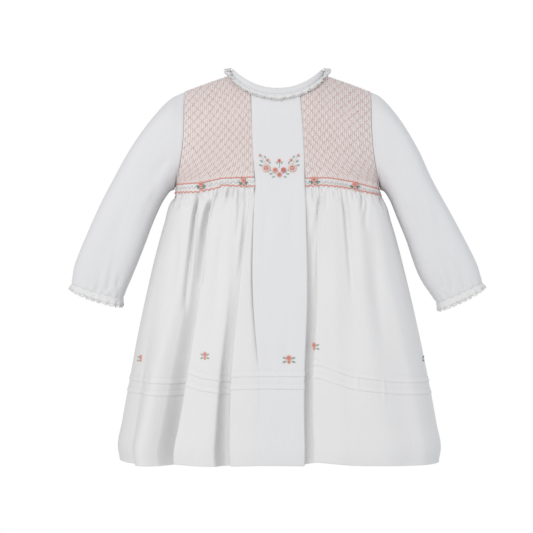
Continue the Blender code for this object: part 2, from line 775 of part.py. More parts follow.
def tube(name, surface, columns, levels, inside, thickness, material, shift=(0, 0, 0)):
    """A wall that closes on itself, such as a sleeve or an edging."""
    outer = wall_rows(surface, columns, levels, inside, 0, True)
    inner = wall_rows(surface, columns, levels, inside, -thickness, True)
    return cloth(name, outer, inner, material, shift, True)


def sleeve(name, rings, side, material):
    """A long sleeve, set in at the armhole."""
    surface, inside = sleeve_surface(rings, side), sleeve_middle(rings, side)
    shift = (side * 2 * SEAM_GAP, 0, 0)
    return tube(name, surface, SLEEVE_COLUMNS, SLEEVE_LEVELS, inside, WALL, material, shift)


def cuff_lace(name, rings, side, material):
    """The gathered edging round a wrist."""
    surface, middle = cuff_lace_surface(rings, side), sleeve_middle(rings, side)

    def inside(v):
        return middle(np.ones_like(v))

    columns = CUFF_WAVES * COLUMNS_PER_WAVE
    shift = (side * 2 * SEAM_GAP, 0, 0)
    return tube(name, surface, columns, LACE_LEVELS, inside, LACE_WALL, material, shift)


def neck_binding(material):
    """The bound edge that stands up round the neck."""
    columns, levels = BINDING_COLUMNS, LACE_LEVELS
    return tube("neck_band", binding_surface, columns, levels, body_middle, BINDING_WALL, material)


def neck_lace(material):
    """The gathered edging that lies on the bodice below the binding."""
    columns = NECK_WAVES * COLUMNS_PER_WAVE
    return tube("neck_frill", neck_lace_surface, columns, LACE_LEVELS, body_middle, LACE_WALL, material)


def back_panel_point(x, drop, out):
    """A point over the centre back, out from the bodice along its normal."""
    spot = place_x(np.asarray(x, float), np.asarray(drop, float), True)
    point = body_point(spot[..., 0], spot[..., 1])
    below = body_point(spot[..., 0], spot[..., 1] + SLOPE_STEP)
    slope = (below - point)[..., 1] / SLOPE_STEP
    facing = np.stack([0 * slope, np.ones_like(slope), slope], axis=-1)
    facing /= np.linalg.norm(facing, axis=-1, keepdims=True)
    return point + facing * np.asarray(out, float)[..., None], facing


def back_placket(material):
    """The strip over the meeting edges of the back halves."""
    drops = np.linspace(*PLACKET_DROPS, PLACKET_ROWS)
    across = np.linspace(-PLACKET_HALF_WIDTH, PLACKET_HALF_WIDTH, PLACKET_COLUMNS)
    x, drop = np.meshgrid(across, drops)
    base = PLACKET_CLEARANCE + np.zeros_like(x)
    outer, _ = back_panel_point(x, drop, base + PLACKET_WALL)
    inner, _ = back_panel_point(x, drop, base)
    return cloth("back_placket", list(outer), list(inner), material, (0, SEAM_GAP / 2, 0))


def button(number, drop, material):
    """A round button standing on the placket."""
    height = PLACKET_CLEARANCE + PLACKET_WALL + BUTTON_LIFT + BUTTON_THICKNESS / 2
    point, facing = back_panel_point(np.array(0.0), np.array(float(drop)), np.array(height))
    bpy.ops.mesh.primitive_cylinder_add(
        vertices=BUTTON_SIDES, radius=BUTTON_RADIUS * MM, depth=BUTTON_THICKNESS * MM
    )
    piece = bpy.context.object
    piece.name = f"button_{number}"
    piece.location = (point + np.array([0, SEAM_GAP / 2, 0])) * MM
    piece.rotation_euler = (-np.arctan2(facing[1], facing[2]), 0, 0)
    bevel = piece.modifiers.new("rim", "BEVEL")
    bevel.width = BUTTON_RIM * MM
    bevel.segments = 2
    piece.data.shade_smooth()
    piece.data.set_sharp_from_angle(angle=np.radians(SHARP_ANGLE))
    piece.data.materials.append(material)
    for collection in piece.users_collection:
        collection.objects.unlink(piece)
    bpy.data.collections["toddler_dress"].objects.link(piece)
    return piece


def main():
    for old in list(bpy.data.objects):
        bpy.data.objects.remove(old)
    dress = bpy.data.collections.new("toddler_dress")
    bpy.context.scene.collection.children.link(dress)
    cotton = make_material("white_cotton", (0.86, 0.86, 0.85), 0.85)
    smocked = make_material("smocked_cotton", (0.86, 0.78, 0.75), 0.85)
    lace = make_material("cotton_lace", (0.9, 0.89, 0.86), 0.8)
    shell = make_material("button_shell", (0.88, 0.87, 0.83), 0.3)

    centre_front(cotton)
    side_front("front_left", -1, LEFT_FOLDS, smocked)
    side_front("front_right", 1, RIGHT_FOLDS, smocked)
    back_half("back_left", -1, cotton)
    back_half("back_right", 1, cotton)
    skirt_back(cotton)
    sleeve("sleeve_left", LEFT_SLEEVE, -1, cotton)
    sleeve("sleeve_right", RIGHT_SLEEVE, 1, cotton)
    cuff_lace("cuff_frill_left", LEFT_SLEEVE, -1, lace)
    cuff_lace("cuff_frill_right", RIGHT_SLEEVE, 1, lace)
    neck_binding(cotton)
    neck_lace(lace)
    back_placket(cotton)
    for number, drop in enumerate(BUTTON_DROPS, start=1):
        button(number, drop, shell)


main()
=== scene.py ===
"""Looks of a toddler's smocked cotton dress, drawn on the same form as its solids.

The frame: x runs to the right as one looks at the front, y to the back, z up. The origin lies midway
between the two points where the shoulder seams meet the neck. Sizes are in millimetres until a mesh is
made. A drop is a depth below the origin. A place round the body is a share of the half width (0 at the
centre line, 1 at the side seam) or the angle of the same place, 0 at the front and pi at the back.
A side is -1 on the left as one looks at the front and 1 on the right.
"""

import bpy
import numpy as np
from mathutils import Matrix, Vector
from mathutils.bvhtree import BVHTree


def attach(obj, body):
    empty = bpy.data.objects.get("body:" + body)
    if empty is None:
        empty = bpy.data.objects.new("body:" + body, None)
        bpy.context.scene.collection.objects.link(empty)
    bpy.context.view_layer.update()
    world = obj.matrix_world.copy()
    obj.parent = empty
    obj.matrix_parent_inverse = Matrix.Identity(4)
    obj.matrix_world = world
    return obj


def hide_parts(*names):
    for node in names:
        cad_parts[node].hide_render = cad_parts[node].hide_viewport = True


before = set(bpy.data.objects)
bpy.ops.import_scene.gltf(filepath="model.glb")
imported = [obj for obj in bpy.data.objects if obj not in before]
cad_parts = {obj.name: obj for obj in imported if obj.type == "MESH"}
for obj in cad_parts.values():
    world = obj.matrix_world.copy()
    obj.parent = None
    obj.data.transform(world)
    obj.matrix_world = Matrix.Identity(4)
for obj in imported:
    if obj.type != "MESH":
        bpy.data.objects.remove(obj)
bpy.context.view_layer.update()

MM = 0.001
CLOTH = 0.7
SEAM_GAP = 0.3
LACE_WALL = 1.0
ORIGIN = (0.0, 0.0, 0.0)
SIDES = {-1: "left", 1: "right"}

# Body form, in rows of drop, half width, front depth, back depth and squareness
BODY = np.array((
    (-14, 127, 56, 50, 2.8),
    (100, 127, 57, 50, 2.8),
    (136, 121, 58, 51, 2.7),
    (160, 130.5, 64, 57, 2.6),
    (208, 145, 72, 66, 2.5),
    (256, 157, 78, 73, 2.5),
    (316, 170.5, 84, 79, 2.5),
    (364, 180, 88, 84, 2.5),
    (412, 189, 91, 87, 2.5),
    (447, 194.4, 93, 89, 2.5),
    (457, 192.5, 92, 88, 2.5),
))
SHOULDER_RISE = 12.9
SHOULDER_SLOPE = 0.4
SHOULDER_BEND = 40
SHOULDER_ROUND = 75
SHOULDER_EDGE = 0.12

# Armhole seam from the shoulder tip to the underarm, in rows of drop and half width
ARMHOLE = np.array(((19.3, 111.0), (66, 110.5), (92, 112.5), (118, 117.0), (136, 121.0)))
SHOULDER_TIP_X = ARMHOLE[0, 1]
UNDERARM_DROP = ARMHOLE[-1, 0]
ARMHOLE_SAMPLES = 121

# Neck: the seam of the binding, and the binding itself
NECK_HALF_WIDTH = 57
NECK_FRONT_DROP = 25
NECK_BACK_DROP = 18.5
NECK_CURVE = 2.2
BINDING_RISE = 8.3
BINDING_LEAN_X = 0.05
BINDING_LEAN_Y = 0.14

# Centre panel: how far each edge lies from the centre line at the neck, and its share at the band
PANEL_X = {-1: 31.4, 1: 26.0}
PANEL_SHARE = {-1: 0.217, 1: 0.262}

# Smocking band
SMOCK_EDGE_DROP = 123
BAND_DROP = 133
BAND_DIP = 7
BAND_DIP_END = 230
RELEASE_DROP = UNDERARM_DROP - BAND_DIP

# Skirt
HEM_DROP = 457
LEVELS = (140, 250, 360, HEM_DROP)
SAG_LEVELS = (140, 250, 330, 400, HEM_DROP)
SAG_SHARES = (0, 0.3, 1, 0.8, 0.3)
TUCK_DROPS = (354.1, 368.5)

# Sleeves from the armhole to the wrist, seen from the front, in rows of outer x, outer drop, inner x,
# inner drop and half depth
LEFT_SLEEVE = np.array((
    (111, 19.3, 121, 136, 33),
    (129, 28, 125, 135.5, 36),
    (152, 52, 130.5, 139, 38),
    (176, 88, 138, 151, 38),
    (196, 124, 147, 171.5, 36.5),
    (220, 172, 161, 207, 33),
    (240.5, 220, 176, 243, 29),
    (245.5, 246, 185.5, 264.5, 25),
))
RIGHT_SLEEVE = np.array((
    (111, 19.3, 121, 136, 33),
    (126.5, 28, 125, 136, 36),
    (147, 52, 129.5, 139, 38),
    (167.5, 88, 135, 148, 38),
    (184, 124, 142, 166, 36.5),
    (210.5, 172, 154, 196, 33),
    (236, 220, 170.5, 240, 29),
    (244, 245, 191, 270, 25),
))
SLEEVES = {-1: LEFT_SLEEVE, 1: RIGHT_SLEEVE}
SLEEVE_SQUARENESS = 3.4
SLEEVE_CAP_FADE = 0.45
WRIST_TILT = {-1: 3.5, 1: 2.0}
UNDERARM_LIFT = 7.0

# Lace edgings
NECK_WAVES = 36
CUFF_WAVES = 22
LACE_WAVE = 1.1
LACE_CLEARANCE = 0.4
NECK_LACE_WIDTH = 6
# where the neck edging lies wider: place round the neck, reach, share of its width
NECK_LACE_LAPS = np.array([(0.0, 0.012, 0.2), (0.0, 0.04, 0.1)])
NECK_LACE_STAND = 6.5
NECK_LACE_TUCK = 0.85
NECK_LACE_PUFF = 0.6
NECK_LACE_ARCH_END = 0.6
SHOULDER_FOCUS = 8
SHOULDER_RUFFLE = 8
SHOULDER_TUCK = 4
CUFF_LACE_LENGTH = 9
CUFF_LACE_FLARE = 2.0
NORMAL_STEP = 1e-3

# Back closure
PLACKET_HALF_WIDTH = 7.5
PLACKET_WALL = 1.2
PLACKET_CLEARANCE = 0.6
PLACKET_DROPS = (28.5, 126)


# --- Curves ---


def unit(vectors):
    return vectors / np.maximum(np.linalg.norm(vectors, axis=-1, keepdims=True), 1e-12)


def lerp(start, end, t):
    return start + (end - start) * t


def ramp(start, end, at):
    """A smooth step from 0 at start to 1 at end."""
    t = np.clip((at - start) / (end - start), 0, 1)
    return t * t * (3 - 2 * t)


def bell(at, width=1, centre=0):
    """A rounded hump of height 1."""
    return np.exp(-(((at - centre) / width) ** 2))


def hermite(knots, values, slopes, at):
    """Read curves, one to each row of values, that pass the knots with the given slopes."""
    k = np.clip(np.searchsorted(knots, at, side="right") - 1, 0, len(knots) - 2)
    span = knots[k + 1] - knots[k]
    t = (at - knots[k]) / span
    return (
        values[..., k] * (1 + 2 * t) * (1 - t) ** 2
        + values[..., k + 1] * t * t * (3 - 2 * t)
        + slopes[..., k] * span * t * (1 - t) ** 2
        - slopes[..., k + 1] * span * t * t * (1 - t)
    )


def smooth(knots, values, at):
    """A smooth curve through the values at the knots, held level past both ends."""
    knots, values = np.asarray(knots, float), np.asarray(values, float)
    return hermite(knots, values, np.gradient(values, knots), np.clip(at, knots[0], knots[-1]))


def across(knots, values, at):
    """Curves through rows of values that don't swing past their knots, read at the same places."""
    gap = np.diff(knots)
    rise = np.diff(values, axis=1) / gap
    before, after = rise[:, :-1], rise[:, 1:]
    first, second = 2 * gap[1:] + gap[:-1], gap[1:] + 2 * gap[:-1]
    same_way = before * after > 0
    safe_before, safe_after = np.where(same_way, before, 1), np.where(same_way, after, 1)
    inner = (first + second) / (first / safe_before + second / safe_after)
    slopes = np.concatenate([rise[:, :1], np.where(same_way, inner, 0), rise[:, -1:]], axis=1)
    return hermite(knots, values, slopes, at)


def mirrored(point, side):
    return np.multiply(point, (side, 1, 1))


def run_lengths(points, axis):
    """The length along the cloth at each point of a grid, down (0) or across (1)."""
    steps = np.linalg.norm(np.diff(points, axis=axis), axis=-1)
    first = np.zeros_like(np.take(steps, [0], axis=axis))
    return np.concatenate([first, np.cumsum(steps, axis=axis)], axis=axis)


# --- The body form ---


def section(drop):
    """Half width, front depth, back depth and squareness of the body at a drop."""
    return [smooth(BODY[:, 0], column, drop) for column in BODY[:, 1:].T]


def shoulder_drop(x):
    """The drop of the shoulder seam, above which there is no cloth."""
    return SHOULDER_SLOPE * (np.hypot(x, SHOULDER_BEND) - SHOULDER_BEND) - SHOULDER_RISE


def fullness(x, drop):
    """How far the cloth has come out from the shoulder seam, from 0 there to 1 at the chest."""
    below = np.clip((drop - shoulder_drop(x)) / SHOULDER_ROUND, 0, None)
    turned = np.minimum(np.sqrt(below * (below + 2 * SHOULDER_EDGE)), 1)
    return 1 - (1 - turned) ** 2


def angle_at(share, drop, back=False):
    """The angle of a share of the half width, on the front or on the back."""
    squareness = section(drop)[3]
    share = np.clip(share, -1, 1)
    ahead = (1 - np.abs(share) ** squareness) ** (1 / squareness)
    angle = np.arctan2(share, ahead)
    return np.pi - angle if back else angle


def body_point(angle, drop, out=0.0):
    """A point of the body form, moved out level by out."""
    angle, drop, out = np.broadcast_arrays(angle, drop, out)
    half_width, front_depth, back_depth, squareness = section(drop)
    sine, cosine = np.sin(angle), np.cos(angle)
    reach = (np.abs(sine) ** squareness + np.abs(cosine) ** squareness) ** (-1 / squareness)
    aside, ahead = reach * sine, reach * cosine
    depth = np.where(ahead > 0, front_depth, back_depth)
    facing_x = np.sign(aside) * np.abs(aside) ** (squareness - 1) / half_width
    facing_y = -np.sign(ahead) * np.abs(ahead) ** (squareness - 1) / depth
    length = np.hypot(facing_x, facing_y)
    x = half_width * aside
    y = -depth * ahead * fullness(x, drop)
    return np.stack([x + out * facing_x / length, y + out * facing_y / length, -drop], axis=-1)


def band_dip(share):
    """How much lower the band runs towards the side seams."""
    return BAND_DIP * np.abs(share) ** 3


def neck_drop(x, back=False, spread=0.0):
    """The drop of the neck seam, or of a line spread further down the body."""
    centre = (NECK_BACK_DROP if back else NECK_FRONT_DROP) + spread
    side = shoulder_drop(NECK_HALF_WIDTH + spread)
    return centre + (side - centre) * (np.abs(x) / (NECK_HALF_WIDTH + spread)) ** NECK_CURVE


# --- Surfaces: each takes grids u across and v down ---


def pairs(angle, drop):
    return np.stack(np.broadcast_arrays(angle, drop), axis=-1)


def place(share, drop, back=False):
    """The (angle, drop) pair of a share of the half width."""
    return pairs(angle_at(share, drop, back), drop)


def place_x(x, drop, back=False):
    """The (angle, drop) pair of a distance from the centre line."""
    return place(x / section(drop)[0], drop, back)


def patch(sides, ends, u, v):
    """Blend between two side lines and two end lines of (angle, drop) pairs."""
    left, right = sides
    top, bottom = ends
    zero, one = np.zeros_like(u), np.ones_like(u)
    s, t = u[..., None], v[..., None]
    ruled = (1 - s) * left(v) + s * right(v) + (1 - t) * top(u) + t * bottom(u)
    corners = (1 - s) * ((1 - t) * top(zero) + t * bottom(zero))
    return ruled - corners - s * ((1 - t) * top(one) + t * bottom(one))


def armhole_x(drop):
    """The distance of the armhole seam from the centre line."""
    return smooth(*ARMHOLE.T, drop)


def armhole_line(last_drop):
    """Down the front of the armhole seam from the shoulder tip."""

    def line(t):
        drop = lerp(shoulder_drop(SHOULDER_TIP_X), last_drop, t)
        return place_x(armhole_x(drop), drop)

    return line


def top_line(inner_x, back):
    """Along the shoulder seam to the neck, then along the neck seam."""

    def line(u):
        x = lerp(SHOULDER_TIP_X, inner_x, u)
        seam_drop = neck_drop(np.minimum(x, NECK_HALF_WIDTH), back)
        return place_x(x, np.where(x > NECK_HALF_WIDTH, shoulder_drop(x), seam_drop), back)

    return line


def back_half(side, u, v):
    """Half of the back bodice: u from the armhole to centre back, v down to the waist seam."""
    last = BAND_DROP + BAND_DIP

    def side_line(t):
        drop = lerp(shoulder_drop(SHOULDER_TIP_X), last, t)
        share = np.where(drop > UNDERARM_DROP, 1, armhole_x(drop) / section(drop)[0])
        return place(share, drop, True)

    def centre_line(t):
        return pairs(np.pi + 0 * t, lerp(NECK_BACK_DROP, BAND_DROP, t))

    def waist_line(u):
        angle = lerp(np.pi / 2, np.pi, u)
        share = np.abs(body_point(angle, last)[..., 0]) / section(last)[0]
        return pairs(angle, BAND_DROP + band_dip(share))

    spot = patch((side_line, centre_line), (top_line(0.0, True), waist_line), u, v)
    return body_point(spot[..., 0] * side, spot[..., 1])


def armhole_point(turn):
    """The armhole seam at a turn: 0 at the shoulder tip, a quarter at the front, half underarm."""
    t = (1 - np.cos(np.linspace(0, np.pi, ARMHOLE_SAMPLES))) / 2
    spot = armhole_line(UNDERARM_DROP)(t)
    halves = []
    for angle in (spot[..., 0], np.pi - spot[..., 0]):
        line = body_point(angle, spot[..., 1])
        run = run_lengths(line, 0)
        along = (1 - np.abs(1 - 2 * (turn % 1.0))) * run[-1]
        halves.append(np.stack([np.interp(along, run, values) for values in line.T], axis=-1))
    return np.where((turn % 1.0 < 0.5)[..., None], *halves)


def sleeve_oval(side, turn, v):
    """The ring of a right-hand sleeve before it is bent to the armhole."""
    rings = SLEEVES[side]
    knots = np.linspace(0, 1, len(rings))
    values = [smooth(knots, column, v) for column in rings.T]
    outer_x, outer_drop, inner_x, inner_drop, half_depth = values
    cosine, sine = np.cos(2 * np.pi * turn), np.sin(2 * np.pi * turn)
    squared = SLEEVE_SQUARENESS
    reach = (np.abs(cosine) ** squared + np.abs(sine) ** squared) ** (-1 / squared)
    cosine, sine = cosine * reach, sine * reach
    x = (outer_x + inner_x) / 2 + (outer_x - inner_x) / 2 * cosine
    z = -(outer_drop + inner_drop) / 2 - (outer_drop - inner_drop) / 2 * cosine
    return np.stack([x, -half_depth * sine, z], axis=-1)


def sleeve(side, u, v):
    """A sleeve: u once round it from the top by the front, v from the armhole to the wrist."""
    start = armhole_point(u) - sleeve_oval(side, u, np.zeros_like(v))
    fade = np.clip(1 - v / SLEEVE_CAP_FADE, 0, 1) ** 2
    point = sleeve_oval(side, u, v) + start * fade[..., None]
    return mirrored(point, side)


def wrist_tilt(side, u, v):
    """How the wrist's front edge lies lower than its back edge."""
    outer_x, outer_drop, inner_x, inner_drop, _ = SLEEVES[side][-1]
    onward = unit(np.array([(inner_drop - outer_drop) * side, 0, inner_x - outer_x]))
    lower = WRIST_TILT[side] * np.sin(2 * np.pi * u) * ramp(0.55, 1, v)
    return lower[..., None] * onward


def neck_line_point(turn, spread=0.0):
    """The neck seam at a turn from the front centre, or a line spread further down the body."""
    x = (NECK_HALF_WIDTH + spread) * np.sin(2 * np.pi * turn)
    behind = np.cos(2 * np.pi * turn) < 0
    drop = np.where(behind, neck_drop(x, True, spread), neck_drop(x, False, spread))
    share = x / section(drop)[0]
    front, rear = (body_point(angle_at(share, drop, back), drop) for back in (False, True))
    return np.where(behind[..., None], rear, front)


def binding(u, v):
    """The neck binding: u once round, v from its top edge down to the seam."""
    rise = (1 - v) * (1 - SEAM_GAP / BINDING_RISE) + SEAM_GAP / BINDING_RISE
    lean = np.stack([1 - BINDING_LEAN_X * rise, 1 - BINDING_LEAN_Y * rise, np.ones_like(rise)], axis=-1)
    return neck_line_point(u) * lean + np.stack([0 * rise, 0 * rise, BINDING_RISE * rise], axis=-1)


def neck_lace_surface(u, v):
    """The neck edging: u once round, v from the seam to its scalloped edge, over the bodice."""
    step = NORMAL_STEP
    shoulder = np.abs(np.sin(2 * np.pi * u)) ** SHOULDER_FOCUS
    wave = 0.5 - 0.5 * np.cos(2 * np.pi * NECK_WAVES * u)
    around = (u[..., None] - NECK_LACE_LAPS[:, 0] + 0.5) % 1 - 0.5
    lap = (NECK_LACE_LAPS[:, 2] * bell(around, NECK_LACE_LAPS[:, 1])).sum(axis=-1)
    spread = LACE_WALL + NECK_LACE_WIDTH * v * (1 - NECK_LACE_TUCK * shoulder + lap)
    risen = np.clip(v, 0, 1)
    ruffle = SHOULDER_RUFFLE * wave * risen**0.35 * (1 - 0.6 * risen) - SHOULDER_TUCK * (1 - wave) * risen
    spread = spread + shoulder * ruffle
    along = neck_line_point(u + step, spread) - neck_line_point(u - step, spread)
    down = neck_line_point(u, spread + step) - neck_line_point(u, spread - step)
    arch = np.sin(np.pi * np.minimum(v, NECK_LACE_ARCH_END)) ** 2
    height = LACE_CLEARANCE + LACE_WALL + (NECK_LACE_PUFF + 2 * LACE_WAVE * wave) * arch
    stand = NECK_LACE_STAND * shoulder * (0.4 + 0.6 * v)
    lifted = neck_line_point(u, spread) + unit(np.cross(down, along)) * height[..., None]
    return lifted + stand[..., None] * np.array([0, 0, 1])


def cuff_lace_surface(side):
    """A cuff edging: u once round the wrist, v from the seam to its scalloped edge."""

    def surface(u, v):
        end = np.ones_like(u)
        ring = sleeve(side, u, end)
        top, bottom = sleeve(side, np.zeros_like(u), end), sleeve(side, np.full_like(u, 0.5), end)
        onward = unit(np.cross(top - bottom, [0.0, -side, 0.0]))
        outward = unit(ring - (top + bottom) / 2)
        outer = np.clip(outward[..., 0] * side, 0, 1) ** 2
        wave = np.cos(2 * np.pi * CUFF_WAVES * u)
        flare = (CUFF_LACE_FLARE + LACE_WAVE * wave) * v * (1 - 0.5 * outer)
        length = SEAM_GAP + CUFF_LACE_LENGTH * v * (1 - 0.35 * outer)
        ring = ring + wrist_tilt(side, u, end)
        return ring + onward * length[..., None] + outward * flare[..., None]

    return surface


# --- The folds of the skirt ---


def folds(**rows):
    """A table of folds from side to centre. Each row gives a fold's share of the half width at the four
    levels, how far it stands out there, and how much lower the hem hangs at it."""
    return np.array(list(rows.values()), float)


LEFT_FOLDS = folds(
    side_seam=(1, 1, 1, 1, 0, -1, -3, -4, 8),
    side_trough=(0.95, 0.93, 0.925, 0.922, 0, -1.5, -8, -11, 9),
    first_ridge=(0.853, 0.765, 0.795, 0.822, 1, 3, 5, 6, 9),
    first_crease=(0.75, 0.69, 0.712, 0.742, -1, -3, -5, -6, 10),
    first_trough=(0.665, 0.6, 0.63, 0.652, -2.5, -12, -24, -35, 10),
    first_under=(0.64, 0.56, 0.575, 0.602, -2, -12, -25, -36, 9),
    second_tip=(0.628, 0.575, 0.592, 0.624, 0, -2, -3, -3.5, -2),
    second_lip=(0.616, 0.566, 0.584, 0.614, 1, 2.5, 3.5, 3.5, -3),
    second_panel=(0.57, 0.485, 0.495, 0.505, 0, 1.5, 2, 2, 2),
    second_slope=(0.45, 0.38, 0.388, 0.386, -0.5, 0.5, -0.5, -1.5, 5),
    second_trough=(0.303, 0.3, 0.332, 0.322, -1.5, -3.5, -12.5, -22, 7),
    second_under=(0.293, 0.275, 0.286, 0.264, -1, -4, -13.5, -23, 6),
    third_tip=(0.283, 0.286, 0.301, 0.285, 0, -1, -2, -2.5, 2),
    third_lip=(0.273, 0.279, 0.294, 0.276, 1, 1.8, 2.5, 3, 1),
    panel_edge=(0.217, 0.189, 0.122, 0.107, 0, -1, -0.5, 0, 0),
)
PANEL_FOLDS = folds(
    left_edge=(-0.217, -0.189, -0.122, -0.107, 0, -1, -0.5, 0, 0),
    centre=(0.011, 0.001, 0.02, 0.024, 0, 0, 0, 0, 0),
    right_lip=(0.246, 0.212, 0.164, 0.153, 1, 2, 2.2, 2.2, 0),
    right_tip=(0.256, 0.221, 0.172, 0.16, -0.4, -1.5, -1.5, -1.5, -1),
    groove_seam=(0.262, 0.215, 0.165, 0.153, -1.5, -6, -6.8, -6.8, -3),
)
RIGHT_FOLDS = folds(
    side_seam=(1, 1, 1, 1, 0, 0, 0, 0, 10),
    side_ridge=(0.9, 0.85, 0.875, 0.885, 1, 2, 2, 2, 9),
    soft_trough=(0.8, 0.73, 0.762, 0.785, -1, -1.4, -1, -0.8, 8),
    soft_ridge=(0.74, 0.64, 0.64, 0.64, 0.5, 1, 0.8, 1, 5),
    fine_crease=(0.672, 0.547, 0.49, 0.467, -1.5, -2, -0.5, 0, 1),
    broad_fold=(0.5, 0.41, 0.37, 0.35, 0, 1, 1, 1, -6),
    groove_side=(0.364, 0.305, 0.236, 0.222, 0, 0.5, 1, 1, -13),
    groove=(0.285, 0.246, 0.19, 0.178, -2, -9, -9.5, -9.5, -5),
    groove_seam=(0.262, 0.215, 0.165, 0.153, -1.5, -6, -6.8, -6.8, -3),
)
BACK_FOLDS = folds(
    right_side_seam=(1, 1, 1, 1, 0, 0, 0, 0, 10),
    first_ridge=(0.8, 0.82, 0.84, 0.85, 1, 4, 6, 7, 8),
    first_trough=(0.64, 0.68, 0.69, 0.7, -1, -4, -6, -7, 4),
    second_ridge=(0.45, 0.48, 0.5, 0.52, 1, 4, 5, 6, 1),
    second_trough=(0.24, 0.26, 0.28, 0.27, -1, -4, -7, -8, 3),
    centre_ridge=(0.05, 0.04, 0.03, 0.01, 1, 3, 5, 5, 0),
    third_trough=(-0.2, -0.21, -0.19, -0.21, -1, -3, -5, -6, 2),
    fourth_ridge=(-0.42, -0.44, -0.45, -0.46, 1, 4, 6, 7, 0),
    fourth_trough=(-0.62, -0.64, -0.65, -0.64, -1, -4, -6, -8, 5),
    fifth_ridge=(-0.79, -0.8, -0.82, -0.84, 1, 3, 5, 6, 7),
    left_side_seam=(-1, -1, -1, -1, 0, -1, -3, -4, 8),
)
FRONT_FOLDS = {-1: LEFT_FOLDS, 1: RIGHT_FOLDS}


def band_angles(table, back=False):
    """The angle of each fold at the band."""
    share = table[:, 0]
    return angle_at(share, BAND_DROP + band_dip(share), back)


def skirt_grid(table, places, drops, side=1, back=False, extra=0.0):
    """Points of the skirt. Places are angles at the band, drops are those of the centre line."""
    knots = band_angles(table, back)
    turn = np.sign(knots[-1] - knots[0])
    rows = drops[:, None]
    dip = band_dip(table[:, 0]) * smooth((BAND_DROP, BAND_DIP_END), (1, 0), rows)
    level = rows + dip + table[:, 8] * smooth(SAG_LEVELS, SAG_SHARES, rows)
    shares, outs = (
        np.stack([smooth(LEVELS, row, at) for row, at in zip(columns, level.T)], axis=1)
        for columns in (table[:, :4], table[:, 4:8])
    )
    read = (angle_at(shares, level, back), outs, level)
    angle, out, drop = (across(turn * knots, values, turn * places) for values in read)
    return body_point(angle * side, drop, out + extra)


# --- Meshes ---

pieces = {}


def mesh_from(name, points, uvs, faces, materials, slots=None):
    """A piece from arrays: points in millimetres and a list of face arrays of equal corners each."""
    mesh = bpy.data.meshes.new(name)
    mesh.vertices.add(len(points))
    mesh.vertices.foreach_set("co", (points * MM).astype(np.float32).ravel())
    corners = np.concatenate([block.ravel() for block in faces])
    sizes = np.concatenate([np.full(len(block), block.shape[1]) for block in faces])
    starts = np.concatenate([[0], np.cumsum(sizes)[:-1]])
    mesh.loops.add(len(corners))
    mesh.loops.foreach_set("vertex_index", corners.astype(np.int32))
    mesh.polygons.add(len(sizes))
    mesh.polygons.foreach_set("loop_start", starts.astype(np.int32))
    mesh.polygons.foreach_set("use_smooth", np.ones(len(sizes), bool))
    if slots is not None:
        mesh.polygons.foreach_set("material_index", slots.astype(np.int32))
    mesh.update(calc_edges=True)
    layer = mesh.uv_layers.new(name="cloth")
    layer.data.foreach_set("uv", (uvs[corners] * MM).astype(np.float32).ravel())
    mesh.validate()
    for material in materials:
        mesh.materials.append(material)
    piece = bpy.data.objects.new(name, mesh)
    bpy.context.scene.collection.objects.link(piece)
    pieces[name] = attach(piece, "root")


def grid_faces(numbers, flip):
    """Four-cornered faces between the rows and columns of a grid of vertex numbers."""
    a, b = numbers[:-1, :-1].ravel(), numbers[:-1, 1:].ravel()
    c, d = numbers[1:, 1:].ravel(), numbers[1:, :-1].ravel()
    quads = np.stack([a, b, c, d], axis=1)
    return quads[:, ::-1] if flip else quads


def rim_faces(outer_numbers, inner_numbers, inner_rows):
    """Three-cornered faces that close one side edge between a fine and a coarse column of points."""
    rim = []
    for k, (start, stop) in enumerate(zip(inner_rows[:-1], inner_rows[1:])):
        middle = (start + stop + 1) // 2
        for row in range(start, stop):
            anchor = inner_numbers[k if row < middle else k + 1]
            rim.append((outer_numbers[row], outer_numbers[row + 1], anchor))
        rim.append((outer_numbers[middle], inner_numbers[k + 1], inner_numbers[k]))
    return np.array(rim)


def cloth_piece(name, base, relief, material, closed=False, row_step=4, shift=ORIGIN, centre=ORIGIN):
    """A closed thin wall on a base grid. Its outer points are moved out by relief, away from the centre,
    and its inner grid has fewer rows. Returns its outer points and their normals."""
    wide = np.concatenate([base[:, -1:], base, base[:, :1]], axis=1)
    along = wide[:, 2:] - wide[:, :-2] if closed else np.gradient(base, axis=1)
    normal = unit(np.cross(np.gradient(base, axis=0), along))
    flip = np.sum(normal * (base - np.asarray(centre)), axis=-1).mean() > 0
    normal = normal if flip else -normal
    outer = base + normal * relief[..., None] + np.array(shift)
    rows, columns = outer.shape[:2]
    inner_rows = np.unique(np.append(np.arange(0, rows - 1, row_step), rows - 1))
    low = np.minimum(relief, 0)[inner_rows]
    inner = base[inner_rows] + normal[inner_rows] * (low - CLOTH)[..., None] + np.array(shift)
    numbers = np.arange((rows + len(inner_rows)) * columns).reshape(-1, columns)
    if closed:
        numbers = np.concatenate([numbers, numbers[:, :1]], axis=1)
    outside, inside = numbers[:rows], numbers[rows:]
    faces = [grid_faces(outside, flip), grid_faces(inside, not flip)]
    for end, turned in ((0, not flip), (-1, flip)):
        faces.append(grid_faces(np.stack([outside[end], inside[end]]), turned))
    for end, turned in () if closed else ((0, flip), (-1, not flip)):
        rim = rim_faces(outside[:, end], inside[:, end], inner_rows)
        faces.append(rim[:, ::-1] if turned else rim)
    uvs = np.stack([run_lengths(outer, 1), run_lengths(outer, 0)], axis=-1)
    uvs = np.concatenate([uvs, uvs[inner_rows]]).reshape(-1, 2)
    mesh_from(name, np.concatenate([outer, inner]).reshape(-1, 3), uvs, faces, [material])
    return outer, normal


# --- Rows and relief of the cloth ---

